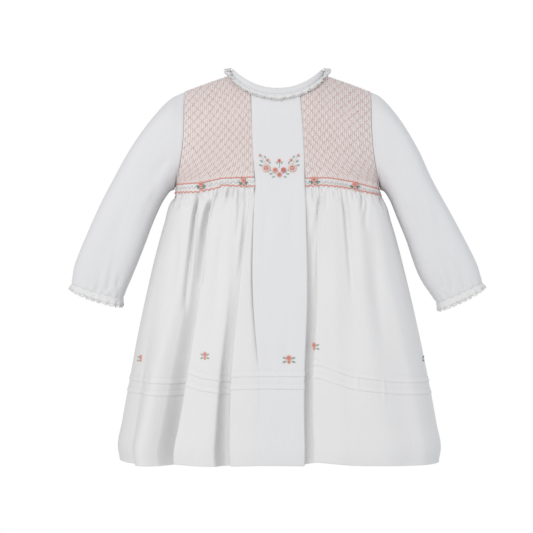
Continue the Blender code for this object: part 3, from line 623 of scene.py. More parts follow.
PLEATS = 36
PLEAT_COLUMNS = 8
PLEAT_DEPTH = 1.15
PLEAT_SWAY = 0.2
PLEAT_END = 1.5
PLEATS_SEEN = 0.65
SWAY_END = -9
CELL_HEIGHT = 10.4
PINCH = 0.3
PINCH_WIDTH = 0.4
BAND_CALM = 0.65
RELEASE_SEED = 3
RELEASE_LENGTHS = (1.5, 6.0)
UNDERARM_SHARE = 0.15
SMOCK_FINE_ROWS = 116
JOIN_SHARES = (0.2, 0.4, 0.6, 0.8)
# rows of the skirt: where they grow wider, and their steps
GATHERED_END = 152
CREASED_END = 205
ROW_STEPS = (1.3, 2.2, 3.6, 4.2)
TUCK_ABOVE = 7
TUCK_BELOW = 1.5
TUCK_PROFILE = (
    (-6.4, 0), (-6, -0.15), (-5.5, 0.3), (-4, 0.55), (-2.2, 0.75), (-0.7, 0.95),
    (-0.1, 0.85), (0.2, 0.6), (0.35, 0.3), (0.45, 0.05), (1, 0),
)
HEM_PROFILE = ((-4, 0), (-2, 0.05), (-0.8, 0.05), (0, -0.2))
CREASE_DEPTH = 1.9
CREASE_REACH = 4.5
CREASE_LIP = 0.12
CREASE_LIP_PLACE = 2.1
CREASE_FADE = 0.6
PUCKER_WAVES = 7
PUCKER_STRETCH = np.array([1.0, 1.0, 0.35])
BLOUSE = 1.2
BLOUSE_END = 34
PANEL_UNDERLAP = 0.01
GATHER_COUNT = 30
GATHER_LENGTHS = (6, 26)
GATHER_WIDTHS = (0.9, 1.5)
GATHER_DEPTHS = (0.5, 1.2)
GATHER_SPREAD = 0.0016
GATHER_STRENGTH = {-1: 1.7, 1: 0.9}
LINE_CLEARANCE = 1.0
# how deep the cloth beside the centre strip sinks, from the neck to the end of the strip's loose edge
GULLY = {-1: (1.6, 1.4, 1.1, 0), 1: (0.8, 1.2, 0.8, 0)}
GULLY_FADE = 15
GULLY_WIDTH = 0.5
PANEL_CREASE_END = 345
LOW_EDGE_SINK = 1.3
LOW_EDGE_FADE = 60
PANEL_LIFT = 1.5
PANEL_EDGE = 1.0
PANEL_SINK = 0.3
PANEL_SINK_WIDTH = 2.2
SLEEVE_CENTRE = (170, 0, -150)
NOTCH_PLACE = 0.045
NOTCH_LENGTH = 0.035
NOTCH_WIDTH = 0.1
BACK_GATHER_COUNT = 34
BACK_GATHER_SEED = 9
BACK_GATHER_DEPTHS = (0.9, 2.4)
BACK_GATHER_LENGTHS = (25, 100)
BACK_GATHER_WIDTH = 0.016
# seeds of the random draws; a side is added to the first three
FRONT_SEED, BACK_SEED, SLEEVE_SEED = 11, 21, 41
PANEL_SEED, SKIRT_SEED, PLACKET_SEED = 5, 31, 8
# the size and the depth of the puckers of each cloth, and where they start on the skirt
SKIRT_PUCKERS = (60, 0.9)
PANEL_PUCKERS = (70, 0.8)
BACK_PUCKERS = (45, 0.9)
SLEEVE_PUCKERS = (55, 1.0)
PLACKET_PUCKERS = (14, 0.12)
PUCKERS_START = 200


def spread(start, stop, step):
    """Evenly spaced drops from start, with the stop left out."""
    return list(np.linspace(start, stop, max(int(round((stop - start) / step)), 1) + 1)[:-1])


def skirt_rows(first_drop):
    """The drops of the skirt's fine rows, and the relief of the tucks and of the turned hem there."""
    gathered, creased, between, last = ROW_STEPS
    plain = spread(first_drop, GATHERED_END, gathered) + spread(GATHERED_END, CREASED_END, creased)
    rows, start = [(drop, 0.0) for drop in plain], CREASED_END
    for tuck in TUCK_DROPS:
        rows += [(drop, 0.0) for drop in spread(start, tuck - TUCK_ABOVE, between)]
        rows += [(tuck + step, lift) for step, lift in TUCK_PROFILE]
        start = tuck + TUCK_BELOW
    rows += [(drop, 0.0) for drop in spread(start, HEM_DROP + HEM_PROFILE[0][0], last)]
    rows += [(HEM_DROP + step, lift) for step, lift in HEM_PROFILE]
    return np.array(rows).T


def tuck_relief(lifts, base):
    """The relief of the tucks on a skirt's last rows, a little uneven along them."""
    x = base[-len(lifts) :, :, 0]
    return lifts[:, None] * (0.8 + 0.2 * np.sin(x / 17 + 1) * np.sin(x / 7.3))


def add_crease(total, x, drop, path, width, depth, lean=0.3, grow=1.5, start=0.1):
    """Sink the total along a path of x, drop, x, drop and so on, as seen from the front. The crease
    starts at its depth and width, and fades and widens along its path. It is steeper on its right where
    lean is above 0, and on its left where it is below."""
    path = np.reshape(path, (-1, 2)).astype(float)
    steps = np.hypot(*np.diff(path, axis=0).T)
    runs = np.concatenate([[0], np.cumsum(steps)])
    reach = width * (1 + grow) * CREASE_REACH
    (left, top), (right, bottom) = path.min(axis=0) - reach, path.max(axis=0) + reach
    near = (x > left) & (x < right) & (drop > top) & (drop < bottom)
    x, drop = x[near], drop[near]
    best = np.full(x.shape, np.inf)
    t, side = np.zeros_like(best), np.zeros_like(best)
    for number, step in enumerate(steps):
        ahead = (path[number + 1] - path[number]) / step
        off_x, off_drop = x - path[number, 0], drop - path[number, 1]
        along = np.clip(off_x * ahead[0] + off_drop * ahead[1], 0, step)
        distance = np.hypot(off_x - along * ahead[0], off_drop - along * ahead[1])
        closer = distance < best
        best = np.where(closer, distance, best)
        t = np.where(closer, (runs[number] + along) / runs[-1], t)
        side = np.where(closer, np.sign(off_x * ahead[1] - off_drop * ahead[0]), side)
    away = best / (width * (1 + grow * t) * (1 - lean * side))
    fade = np.clip(t / start, 0, 1) * (1 - t) ** CREASE_FADE
    groove = bell(away) - CREASE_LIP * bell(away, 1, CREASE_LIP_PLACE)
    total[near] -= CREASE_DEPTH * depth * fade * groove


def crease_relief(creases, points):
    """How far the given creases move each point of a grid."""
    total = np.zeros(points.shape[:-1])
    for crease in creases:
        add_crease(total, points[..., 0], -points[..., 2], *crease)
    return total


def puckers(points, size, depth, seed):
    """A soft unevenness of the cloth: a few waves in random directions, always the same ones."""
    draw = np.random.default_rng(seed)
    total = np.zeros(points.shape[:-1])
    for _ in range(PUCKER_WAVES):
        direction = unit(draw.normal(size=3)) * PUCKER_STRETCH
        phase = draw.uniform(0, 2 * np.pi)
        length = size * draw.uniform(0.6, 1.6)
        total += np.sin(points @ direction * 2 * np.pi / length + phase)
    return depth * total / PUCKER_WAVES


# --- The smocked side fronts ---


def pleat_places(outer_angle, inner_angle, u):
    """Angles of the pleats: nearly as even seen from the front as they are along the cloth."""
    seen = np.arcsin(lerp(np.sin(outer_angle), np.sin(inner_angle), u))
    return lerp(lerp(outer_angle, inner_angle, u), seen, PLEATS_SEEN)


def smocked_part(side, u):
    """The smocked part, as in the solid but with even angles at the band, and its outer angle there."""
    inner_x, inner_share = PANEL_X[side], PANEL_SHARE[side]
    outer_drop = SMOCK_EDGE_DROP + BAND_DIP
    outer_line = armhole_line(outer_drop)
    outer_angle = outer_line(1.0)[0]
    inner_drop = SMOCK_EDGE_DROP + band_dip(inner_share)
    inner_angle = angle_at(inner_share, inner_drop)

    def inner_line(t):
        x = lerp(inner_x, inner_share * section(inner_drop)[0], t)
        return place_x(x, lerp(neck_drop(inner_x), inner_drop, t))

    def bottom_line(u):
        level = lerp(outer_drop, inner_drop, 1 - (1 - u) ** 2)
        return pairs(pleat_places(outer_angle, inner_angle, u), level)

    ends = (top_line(inner_x, False), bottom_line)
    spot = patch((outer_line, inner_line), ends, *np.meshgrid(u, np.linspace(0, 1, SMOCK_FINE_ROWS)))
    return body_point(spot[..., 0] * side, spot[..., 1]), outer_angle


def sway_at(u, height):
    """How far, in pleats, the stitches draw neighbouring pleats together and apart."""
    held = ramp(SWAY_END, 0, height)
    return PLEAT_SWAY * held * np.cos(2 * np.pi * height / CELL_HEIGHT) * np.sin(np.pi * PLEATS * u)


def pleat_relief(u, height, below):
    """The rounded pleats, pinched at the stitches, and released at uneven lengths below the band."""
    count = PLEATS * u + sway_at(u, height)
    bulge = np.sqrt(np.clip(1 - (2 * (count % 1) - 1) ** 2, 0, 1))
    bulge = bulge * np.minimum(1, (1 - u) * PLEATS * PLEAT_END)
    step = height * 4 / CELL_HEIGHT
    up = np.abs((count - 0.5 - step + 2) % 4 - 2)
    down = np.abs((count - 0.5 + step + 2) % 4 - 2)
    pinch = bell(np.minimum(up, down), PINCH_WIDTH) * ramp(-1, 0, height)
    lengths = np.random.default_rng(RELEASE_SEED).uniform(*RELEASE_LENGTHS, PLEATS + 2)
    length = lengths[np.clip(np.floor(count).astype(int), 0, PLEATS + 1)]
    fade = np.exp(-np.clip(below, 0, None) / length)
    calm = lerp(BAND_CALM, 1, ramp(-3, 1, height))
    return PLEAT_DEPTH * bulge * (1 - PINCH * pinch) * fade * calm


def short_gathers(band_line, lower_line, seed, strength):
    """Small creases of uneven length that start under the lower line of stitches."""
    draw = np.random.default_rng(seed)
    gathers = []
    for number in range(GATHER_COUNT):
        share = (number + draw.uniform(0.1, 0.9)) / GATHER_COUNT
        x, _, z = band_line[int(share * (len(band_line) - 1))]
        length = draw.uniform(*GATHER_LENGTHS)
        end = (x * (1 + GATHER_SPREAD * length) + draw.uniform(-1.2, 1.2), -z + length)
        start = np.interp(x, *lower_line.T) + LINE_CLEARANCE
        width, depth = draw.uniform(*GATHER_WIDTHS), strength * draw.uniform(*GATHER_DEPTHS)
        gathers.append(((x, start, *end), width, depth, 0.3, 0.8))
    return gathers


def side_front_cloth(side):
    """One side front from the shoulder to the hem. Returns the ground for its stitches and the height of
    each of its points over the smocking's lower edge."""
    name = f"front_{SIDES[side]}_cloth"
    upper_line, lower_line = STITCH_LINES[side]
    u = np.linspace(0, 1, PLEATS * PLEAT_COLUMNS + 1)
    smocked, outer_angle = smocked_part(side, u)
    places = pleat_places(outer_angle, band_angles(FRONT_FOLDS[side])[-1] - PANEL_UNDERLAP, u)
    places = places + (np.pi / 2 - outer_angle) * np.clip(1 - u / UNDERARM_SHARE, 0, 1) ** 2
    drops, lifts = skirt_rows(RELEASE_DROP)
    skirt = skirt_grid(FRONT_FOLDS[side], places, drops, side)
    joins = [lerp(smocked[-1], skirt[0], t) for t in JOIN_SHARES]
    base = np.concatenate([smocked, joins, skirt])
    drop = -base[..., 2]
    band_row = int(round(np.interp(BAND_DROP, drops, np.arange(len(drops)))))
    bottom_row = SMOCK_FINE_ROWS + len(joins) + band_row
    band = base[bottom_row]
    height = np.interp(band[:, 0], *upper_line.T) - drop
    below = drop + band[:, 2]
    below[: bottom_row + 1] = 0
    relief = pleat_relief(u[None], height, below)
    relief[-len(drops) :] += tuck_relief(lifts, base)
    gathers = short_gathers(band, lower_line, FRONT_SEED + side, GATHER_STRENGTH[side])
    relief += crease_relief((*FRONT_CREASES[side], *gathers), base)
    relief += puckers(base, *SKIRT_PUCKERS, FRONT_SEED + side) * ramp(0, 60, below)
    relief += BLOUSE * np.sin(np.pi * np.clip(below / BLOUSE_END, 0, 1)) ** 1.5
    gully = smooth((0, BAND_DROP, PANEL_CREASE_END - GULLY_FADE, PANEL_CREASE_END), GULLY[side], drop)
    relief -= gully * bell((1 - u) * PLEATS, GULLY_WIDTH)
    low = ramp(PANEL_CREASE_END - LOW_EDGE_FADE, PANEL_CREASE_END, drop)
    relief -= LOW_EDGE_SINK * low * ramp(0.97, 0.99, u)
    shift = (side * SEAM_GAP, -SEAM_GAP / 2, 0)
    ground = Ground(*cloth_piece(name, base, relief, SMOCKED_COTTON, row_step=5, shift=shift))
    # Pinker and darker cloth in the valleys between the pleats, and a little pinker over all the smocking:
    # the pink stands for the holding threads, and the darker tone in the valleys is painted shade.
    valley = 1 - np.sin(np.pi * ((PLEATS * u + sway_at(u, height)) % 1)) ** 0.8
    valley_pink_and_shade = np.minimum(0.2 + 1.2 * valley, 1) * ramp(-1.5, 1.5, height)
    mesh = pieces[name].data
    values = np.concatenate([valley_pink_and_shade.ravel(), np.zeros(len(mesh.vertices) - valley_pink_and_shade.size)])
    layer = mesh.attributes.new("valley_pink_and_shade", "FLOAT", "POINT")
    layer.data.foreach_set("value", values.astype(np.float32))
    return ground, height


# --- The centre panel, the back and the sleeves ---


def ends_clustered(count, pull=0.85):
    """Fractions from 0 to 1 that lie closer together at both ends."""
    t = np.linspace(0, 1, count)
    return t - pull * np.sin(2 * np.pi * t) / (2 * np.pi)


def round_grid(columns, v):
    """Grids of u and v for a surface that closes round: u leaves out its last column."""
    return np.meshgrid(np.linspace(0, 1, columns + 1)[:-1], v)


def panel_cloth():
    """The plain strip, laid over the edges of the smocking. Returns the ground for its stitches."""
    u = ends_clustered(97)
    v = np.linspace(0, 1, 90)[:-1, None]
    knots = band_angles(PANEL_FOLDS)
    places = lerp(knots[0], knots[-1], u)
    drops, lifts = skirt_rows(BAND_DROP)
    skirt = skirt_grid(PANEL_FOLDS, places, drops)
    top_angle = place_x(np.array([-PANEL_X[-1], PANEL_X[1]]), neck_drop(0.0))[:, 0]
    band_out = across(knots, PANEL_FOLDS[None, :, 4], places)
    angle = lerp(lerp(top_angle[0], top_angle[1], u), places, v)
    drop = lerp(neck_drop(lerp(-PANEL_X[-1], PANEL_X[1], u)), -skirt[0, :, 2], v)
    base = np.concatenate([body_point(angle, drop, band_out * v**3), skirt])
    run = run_lengths(base, 1)
    from_left, from_right = run, run[:, -1:] - run
    drop = -base[..., 2]
    left_fade = 1 - ramp(PANEL_CREASE_END - 40, PANEL_CREASE_END, drop)
    right_fade = 1 - ramp(BAND_DROP, BAND_DROP + 60, drop)
    middle = ramp(0.2, 0.8, run / run[:, -1:])
    fade = left_fade * (1 - middle) + right_fade * middle
    edge = bell(from_left, PANEL_EDGE) + bell(from_right, PANEL_EDGE)
    relief = PANEL_LIFT * (1 - 0.6 * edge) * fade
    relief -= PANEL_SINK * bell(from_left, PANEL_SINK_WIDTH) * (1 - left_fade)
    relief[-len(drops) :] += tuck_relief(lifts, base)
    relief += crease_relief(PANEL_CREASES, base)
    relief += puckers(base, *PANEL_PUCKERS, PANEL_SEED) * ramp(BAND_DROP, PUCKERS_START, drop)
    return Ground(*cloth_piece("front_center_cloth", base, relief, WHITE_COTTON))


def back_half_cloth(side):
    """Half of the back bodice."""
    u, v = np.meshgrid(ends_clustered(61, 0.5), np.linspace(0, 1, 71))
    base = back_half(side, u, v)
    relief = puckers(base, *BACK_PUCKERS, BACK_SEED + side) + crease_relief(BACK_CREASES, base)
    relief *= np.minimum(1, np.minimum(u, 1 - u) * 8)
    shift = (side * SEAM_GAP / 2, SEAM_GAP / 2, 0)
    cloth_piece(f"back_{SIDES[side]}_cloth", base, relief, WHITE_COTTON, shift=shift)


def back_skirt_cloth():
    """The back skirt, gathered on to the back bodice."""
    knots = band_angles(BACK_FOLDS, True)
    places = np.linspace(knots[0], knots[-1], 321)
    drops, lifts = skirt_rows(BAND_DROP)
    draw = np.random.default_rng(BACK_GATHER_SEED)
    below = drops[:, None] - BAND_DROP
    extra = np.zeros((len(drops), len(places)))
    for number in range(BACK_GATHER_COUNT):
        centre = lerp(knots[0], knots[-1], (number + 0.5 + draw.uniform(-0.3, 0.3)) / BACK_GATHER_COUNT)
        depth, length = draw.uniform(*BACK_GATHER_DEPTHS), draw.uniform(*BACK_GATHER_LENGTHS)
        width = BACK_GATHER_WIDTH * (1 + 2.4 * np.clip(below / length, 0, 1.5))
        fade = np.clip(1 - below / (1.6 * length), 0, 1) ** 1.5
        extra -= depth * bell(places, width, centre) * fade
    base = skirt_grid(BACK_FOLDS, places, drops, 1, True, extra)
    soft = puckers(base, *SKIRT_PUCKERS, SKIRT_SEED) * ramp(BAND_DROP, PUCKERS_START, -base[..., 2])
    relief = tuck_relief(lifts, base) + soft
    cloth_piece("back_skirt_cloth", base, relief, WHITE_COTTON, shift=(0, SEAM_GAP / 2, -SEAM_GAP))


def sleeve_cloth(side):
    """A sleeve with its soft creases and the small puckers above its cuff."""
    u, v = round_grid(176, np.concatenate([np.linspace(0, 0.9, 120), np.linspace(0.9, 1, 22)[1:]]))
    base = sleeve(side, u, v) + wrist_tilt(side, u, v)
    notch = np.exp(-(((v - NOTCH_PLACE) / NOTCH_LENGTH) ** 2) - ((u - 0.5) / NOTCH_WIDTH) ** 2)
    base[..., 2] += UNDERARM_LIFT * (notch * ramp(0, 0.02, v))
    relief = crease_relief(SLEEVE_CREASES[side], base) + puckers(base, *SLEEVE_PUCKERS, SLEEVE_SEED + side)
    relief *= ramp(0, 0.06, v)
    relief += 0.6 * ramp(0.93, 1, v) * np.cos(2 * np.pi * CUFF_WAVES * u)
    relief += -0.15 * bell(v, 0.012) + 0.3 * bell(v, 0.015, 0.03)
    relief -= 0.8 * bell(1 - v, 0.006)
    shift, centre = (side * 2 * SEAM_GAP, 0, 0), mirrored(SLEEVE_CENTRE, side)
    cloth_piece(f"sleeve_{SIDES[side]}_cloth", base, relief, WHITE_COTTON, True, 4, shift, centre)


# --- Binding, edgings and placket ---

LACE_BAND = 0.76
LACE_REACH = 1.1
LACE_ARCH = LACE_REACH - LACE_BAND - 0.16
NET_RADIUS = 0.36
NECK_SCALLOPS = 54
CUFF_SCALLOPS = 30
BINDING_RIPPLES = 90
SCALLOP_POWER = 0.7
WRIST = (215, 0, -255)


def neck_band_cloth():
    """The bound neck edge: a soft roll of cloth, open in the middle."""
    u, v = round_grid(360, (0.0, 0.03, 0.08, 0.15, 0.25, 0.4, 0.55, 0.7, 0.82, 0.92, 1.0))
    ripple = 0.12 * np.cos(2 * np.pi * BINDING_RIPPLES * u) * ramp(0.3, 1, v)
    relief = 0.9 * np.sin(np.pi * np.clip(v, 0, 1)) ** 0.6 + ripple - 0.3
    cloth_piece("neck_binding_cloth", binding(u, v), relief, WHITE_COTTON, True, 1)


def lace_piece(name, surface, waves, centre, start, dip):
    """The gathered strip of an edging, from its seam to where its open edge starts."""
    u, v = round_grid(waves * 12, np.linspace(0, 1, 11))
    ribs = 0.14 * np.cos(2 * np.pi * waves * 4 * u) * np.sin(np.pi * v) - dip * bell(v, 0.12)
    cloth_piece(name, surface(u, lerp(start, LACE_BAND, v)), ribs, LACE_COTTON, True, 2, ORIGIN, centre)


def lace_edge(name, surface, scallops, centre):
    """The open edge of an edging: cords, spokes and picots of thread along each scallop."""
    start = np.arange(scallops)[:, None]
    lace = Sewing()

    def cord(u, v, radius, sides=4):
        u, v = np.broadcast_arrays(u, v)
        paths = surface(u / scallops, v)
        lace.add(paths, NET_RADIUS * radius, unit(paths - np.asarray(centre)), 0, sides)

    t = np.linspace(0, 1, 9)
    arch = np.sin(np.pi * t)
    cord(start + t, LACE_BAND + 0 * t, 1.2, 5)
    cord(start + t, LACE_BAND + 0.04 + 0.2 * arch, 1, 5)
    cord(start + t, LACE_BAND + 0.08 + LACE_ARCH * arch**SCALLOP_POWER, 1.2, 5)
    short = np.linspace(0, 1, 4)
    for spoke in (0.2, 0.35, 0.5, 0.65, 0.8):
        rise = 0.08 + LACE_ARCH * np.sin(np.pi * spoke) ** SCALLOP_POWER
        foot = 0.5 + (spoke - 0.5) * 0.6
        cord(start + foot + (spoke - foot) * short, LACE_BAND + rise * short, 0.8)
    ring = np.linspace(0, 2 * np.pi, 8)
    for picot in (0.2, 0.5, 0.8):
        rise = 0.12 + LACE_ARCH * np.sin(np.pi * picot) ** SCALLOP_POWER
        cord(start + picot + 0.07 * np.sin(ring), LACE_BAND + rise + 0.06 - 0.06 * np.cos(ring), 0.8)
    lace.finish(name, [THREADS[WHITE]])


def placket_cloth():
    """The buttoned strip over the meeting edges of the back halves, with a stitched edge."""
    u, v = np.meshgrid(ends_clustered(25), np.linspace(0, 1, 61))
    first, last = PLACKET_DROPS
    spot = place_x(lerp(-PLACKET_HALF_WIDTH, PLACKET_HALF_WIDTH, u), lerp(first, last, v), True)
    base = body_point(spot[..., 0], spot[..., 1], PLACKET_CLEARANCE + PLACKET_WALL)
    edge = np.minimum(np.minimum(u, 1 - u) * 2 * PLACKET_HALF_WIDTH, np.minimum(v, 1 - v) * 97)
    relief = -0.45 * bell(edge, 0.6) - 0.2 * bell(edge, 0.4, 2)
    relief += puckers(base, *PLACKET_PUCKERS, PLACKET_SEED)
    cloth_piece("back_placket_cloth", base, relief, WHITE_COTTON, shift=(0, SEAM_GAP / 2, 0))


# --- Sewing ---

# Colours of thread, in the order of their slots
PINK, SALMON, CORAL, RED, GREEN, GREY_GREEN, ORANGE, WHITE, ROSE_PINK, MAUVE, PALE, LINE = range(12)
THREAD_RADIUS = 0.44
CORAL_RADIUS = 0.52
STITCH_SINK = 0.5
TRELLIS_SEED = 17
LINE_SEED = 4
LINE_LIFT = 0.3
STRAND_SPREAD = 0.55
STRAND_OVERLAP = 0.5
# where rays that look for the cloth start, and where to look nearby when they miss it
RAY_START_Y = -400
NEARBY_Y = -90


class Ground:
    """A grid of cloth that stitches are laid on, found by row and column or as seen from the front."""

    def __init__(self, points, normals):
        self.points, self.normals = points, normals
        rows, columns = points.shape[:2]
        quads = grid_faces(np.arange(rows * columns).reshape(rows, columns), False)
        self.tree = BVHTree.FromPolygons(points.reshape(-1, 3).tolist(), quads.tolist())

    def at(self, row, column):
        """The point and the normal at a row and a column that need not be whole numbers."""
        row = np.clip(row, 0, self.points.shape[0] - 1.001)
        column = np.clip(column, 0, self.points.shape[1] - 1.001)
        i, j = np.floor(row).astype(int), np.floor(column).astype(int)
        s, t = (row - i)[..., None], (column - j)[..., None]
        found = []
        for values in (self.points, self.normals):
            above = values[i, j] * (1 - t) + values[i, j + 1] * t
            below = values[i + 1, j] * (1 - t) + values[i + 1, j + 1] * t
            found.append(above * (1 - s) + below * s)
        return found[0], unit(found[1])

    def seen(self, places):
        """The points and normals that lie straight behind places (x, z) in the front view."""
        found = []
        for x, z in places.reshape(-1, 2):
            spot, facing, _, _ = self.tree.ray_cast(Vector((x, RAY_START_Y, z)), Vector((0, 1, 0)))
            if spot is None:
                spot, facing, _, _ = self.tree.find_nearest(Vector((x, NEARBY_Y, z)))
            found.append((spot, -facing if facing.y > 0 else facing))
        found = np.array(found).reshape(*places.shape[:-1], 2, 3)
        return found[..., 0, :], found[..., 1, :]


class Sewing:
    """Stitches on a ground, gathered into one mesh, each batch in its own colour of thread."""

    def __init__(self, ground=None):
        self.ground, self.count = ground, 0
        self.points, self.faces, self.slots, self.uvs = [], [], [], []

    def add(self, paths, radius, ups, slot, sides=6):
        """Tubes of thread round paths: an array of stitches by points, with the way that faces up."""
        stitches, steps = paths.shape[:2]
        radii = np.broadcast_to(radius, (stitches, steps))
        ups = ups[:, None] if ups.ndim == 2 else ups
        tangent = unit(np.gradient(paths, axis=1))
        aside = unit(np.cross(tangent, ups))
        rise = np.cross(aside, tangent)
        turn = 2 * np.pi * np.arange(sides) / sides
        ring = aside[:, :, None] * np.cos(turn)[:, None] + rise[:, :, None] * np.sin(turn)[:, None]
        tube = paths[:, :, None] + ring * radii[..., None, None]
        numbers = np.arange(tube.size // 3).reshape(stitches, steps, sides) + self.count
        wrapped = np.concatenate([numbers, numbers[:, :, :1]], axis=2)
        corners = [wrapped[:, :-1, :-1], wrapped[:, 1:, :-1], wrapped[:, 1:, 1:], wrapped[:, :-1, 1:]]
        quads = np.stack([corner.ravel() for corner in corners], axis=1)
        run = run_lengths(paths, 1)[..., None] + np.zeros(sides)
        self.points.append(tube.reshape(-1, 3))
        self.uvs.append(np.stack([radii[..., None] * turn, run], axis=-1).reshape(-1, 2))
        for block in (quads, numbers[:, 0], numbers[:, -1, ::-1]):
            self.faces.append(block)
            self.slots.append(np.full(len(block), slot))
        self.count += tube.size // 3

    def finish(self, name, materials):
        """Make the mesh, its faces in groups of equal corners."""
        groups = {}
        for block, slots in zip(self.faces, self.slots):
            groups.setdefault(block.shape[1], []).append((block, slots))
        faces = [np.concatenate([block for block, _ in group]) for group in groups.values()]
        slots = np.concatenate([slots for group in groups.values() for _, slots in group])
        mesh_from(name, np.concatenate(self.points), np.concatenate(self.uvs), faces, materials, slots)


def bowed(start, end, ups, lift, steps=5):
    """Paths from starts to ends that sink into the cloth at both ends and stand over it between."""
    t = np.linspace(0, 1, steps)[None, :, None]
    rise = lift - (lift + STITCH_SINK) * (2 * t - 1) ** 4
    return start[:, None] * (1 - t) + end[:, None] * t + ups[:, None] * rise


def row_where(levels, column, level):
    """The row at which a grid of levels, rising down the cloth, reaches a level in each column."""
    rows = np.arange(len(levels))
    nearest = np.clip(np.round(column).astype(int), 0, levels.shape[1] - 1)
    return np.array([np.interp(at, levels[:, j], rows) for at, j in zip(level, nearest)])


def pleat_top(pleat, height):
    """The column of a pleat's top at a height above the smocking's lower edge."""
    u = (pleat + 0.5) / PLEATS
    for _ in range(3):
        u = (pleat + 0.5 - sway_at(u, height)) / PLEATS
    return u * PLEATS * PLEAT_COLUMNS


def trellis(sewing, height):
    """Pink stitches from pleat to pleat, which cross into a trellis of diamonds."""
    draw = np.random.default_rng(TRELLIS_SEED)
    top = height[0]
    tallest = int(top.max() / (CELL_HEIGHT / 4))
    for slope in (1, -1):
        pleat, step = np.meshgrid(np.arange(PLEATS - 1), np.arange(2, tallest + 1))
        chosen = (pleat - slope * step) % 4 == 0
        pleat, step = pleat[chosen], step[chosen]
        ends, inside = [], True
        for add in (0, 1):
            level = (step + slope * add) * CELL_HEIGHT / 4
            column = pleat_top(pleat + add, level)
            ends.append(np.array([row_where(-height, column, -level), column]))
            nearest = np.clip(np.round(column).astype(int), 0, len(top) - 1)
            inside = inside & (level < top[nearest] - 0.5)
        start, up = sewing.ground.at(*ends[0][:, inside])
        end, _ = sewing.ground.at(*ends[1][:, inside])
        lift = draw.uniform(-0.05, 0.3, len(start)) + 0.1 * (slope > 0)
        radius = THREAD_RADIUS * draw.uniform(0.75, 1.1, (len(start), 1))
        sewing.add(bowed(start, end, up, lift[:, None, None]), radius, up, PINK)


def line_over_pleats(sewing, line, slot, radius, wave):
    """A line of stitches over the pleat tops, along a line of (x, drop), as a cable or a wave."""
    draw = np.random.default_rng(LINE_SEED)
    pleat = np.arange(PLEATS)
    column = (pleat + 0.5) * PLEAT_COLUMNS
    points = sewing.ground.points
    drops = -points[..., 2]
    middle = np.argmin(np.abs(drops - line[:, 1].mean()), axis=0)
    x = points[middle, np.arange(len(middle)), 0]
    drop = np.interp(x[column.astype(int)], *line.T)
    drop = drop + wave * np.where(pleat % 2 == 0, 1, -1) + draw.uniform(-0.15, 0.15, PLEATS)
    spot, up = sewing.ground.at(row_where(drops, column, drop), column)
    over = spot + up * LINE_LIFT
    start, end, up = over[:-1], over[1:], up[:-1]
    ahead = unit(end - start)
    overlap = ahead * STRAND_OVERLAP
    twist = np.linspace(-1, 1, 6)[None, :, None]
    for strand in (-1, 1):
        aside = np.cross(up, ahead) * strand * radius * STRAND_SPREAD
        paths = bowed(start - overlap, end + overlap, up, 0.15, 6)
        sewing.add(paths + aside[:, None] * twist, radius, up, slot)


def embroider(sewing, x, z, plan, lift, radius, slot, sides=6):
    """Lay flat outlines, drawn round a centre in the front view, on the cloth as threads."""
    spot, facing = sewing.ground.seen(np.array([x, z]) + plan)
    sewing.add(spot + facing * np.asarray(lift)[..., None], radius, facing, slot, sides)


def rose(sewing, x, z, size, outer_slot, inner_slot, squeeze=1.0, turn=0.0, lift=0.0):
    """A small rose of bullion stitches: overlapping arcs round a tight heart."""
    t = np.linspace(0, 1, 9)
    bead = 1 + 0.1 * np.cos(2 * np.pi * 5 * t)
    for arcs, start, sweep, reach, rise, bow, thick, slot in (
        (6, turn, 2.0, 0.33 + 0.08 * t, 0.02, 0.07, 0.14, outer_slot),
        (3, turn + 0.5, 2.4, 0.12, 0.09, 0.06, 0.105, inner_slot),
    ):
        angle = start + np.arange(arcs)[:, None] * 2 * np.pi / arcs + (t - 0.5) * sweep
        plan = np.stack([size * reach * np.cos(angle) * squeeze, size * reach * np.sin(angle)], axis=-1)
        radius = size * thick * bead * np.sin(np.pi * (0.15 + 0.7 * t)) ** 0.5
        embroider(sewing, x, z, plan, lift + size * (rise + bow * np.sin(np.pi * t)), radius, slot, 8)


def leaf(sewing, x, z, direction, length, slot, lift=0.0, thick=0.35):
    """A leaf of three long stitches that meet at both ends."""
    t = np.linspace(0, 1, 7)
    bow = np.sin(np.pi * t)
    ahead = np.array([np.cos(direction), np.sin(direction)])
    aside = np.array([-ahead[1], ahead[0]])
    bends = np.array([-1, 0, 1])[:, None] * 0.17 * length * bow
    plan = ahead * (t * length)[:, None] + aside * bends[..., None]
    embroider(sewing, x, z, plan, lift + 0.15 + 0.25 * bow, thick * (0.45 + 0.55 * bow), slot)


def stem(sewing, x, z, plan, slot, radius=0.25):
    """One thin bowed stitch or stem along a flat path."""
    embroider(sewing, x, z, plan[None], radius * 0.7, radius, slot)


def band_spray(sewing, x, z):
    """A coral bloom, a pinker bud under it and two pairs of leaves, between the two lines."""
    rose(sewing, x, z + 1.9, 6.4, SALMON, CORAL, 0.9, 0.3, 0.7)
    rose(sewing, x + 0.3, z - 3.8, 4.6, PALE, ROSE_PINK, 1.0, 1.1, 0.7)
    for way in (-1, 1):
        leaf(sewing, x + way * 1.8, z - 1.0, np.pi / 2 - way * (np.pi / 2 - 0.15), 4.2, GREEN, 0.7)
        leaf(sewing, x + way * 1.6, z - 1.8, np.pi / 2 - way * (np.pi / 2 + 0.5), 3.0, GREEN, 0.7, 0.3)


def skirt_spray(sewing, x, z, size, squeeze, leaves):
    """A rose above the tucks with a bud and leaves at its sides."""
    rose(sewing, x, z + 1.4, size, SALMON, CORAL, squeeze, 0.2)
    rose(sewing, x, z - size * 0.5, size * 0.6, ORANGE, CORAL, squeeze, 0.9)
    for way in leaves:
        start = x + way * size * 0.42 * squeeze
        for rise, tilt, length in ((0.6, 0.35, 5.0), (-2.2, -0.3, 5.2)):
            turned = tilt if way > 0 else np.pi - tilt
            leaf(sewing, start, z + rise, turned, length * squeeze**0.5, GREY_GREEN)


# --- Materials ---


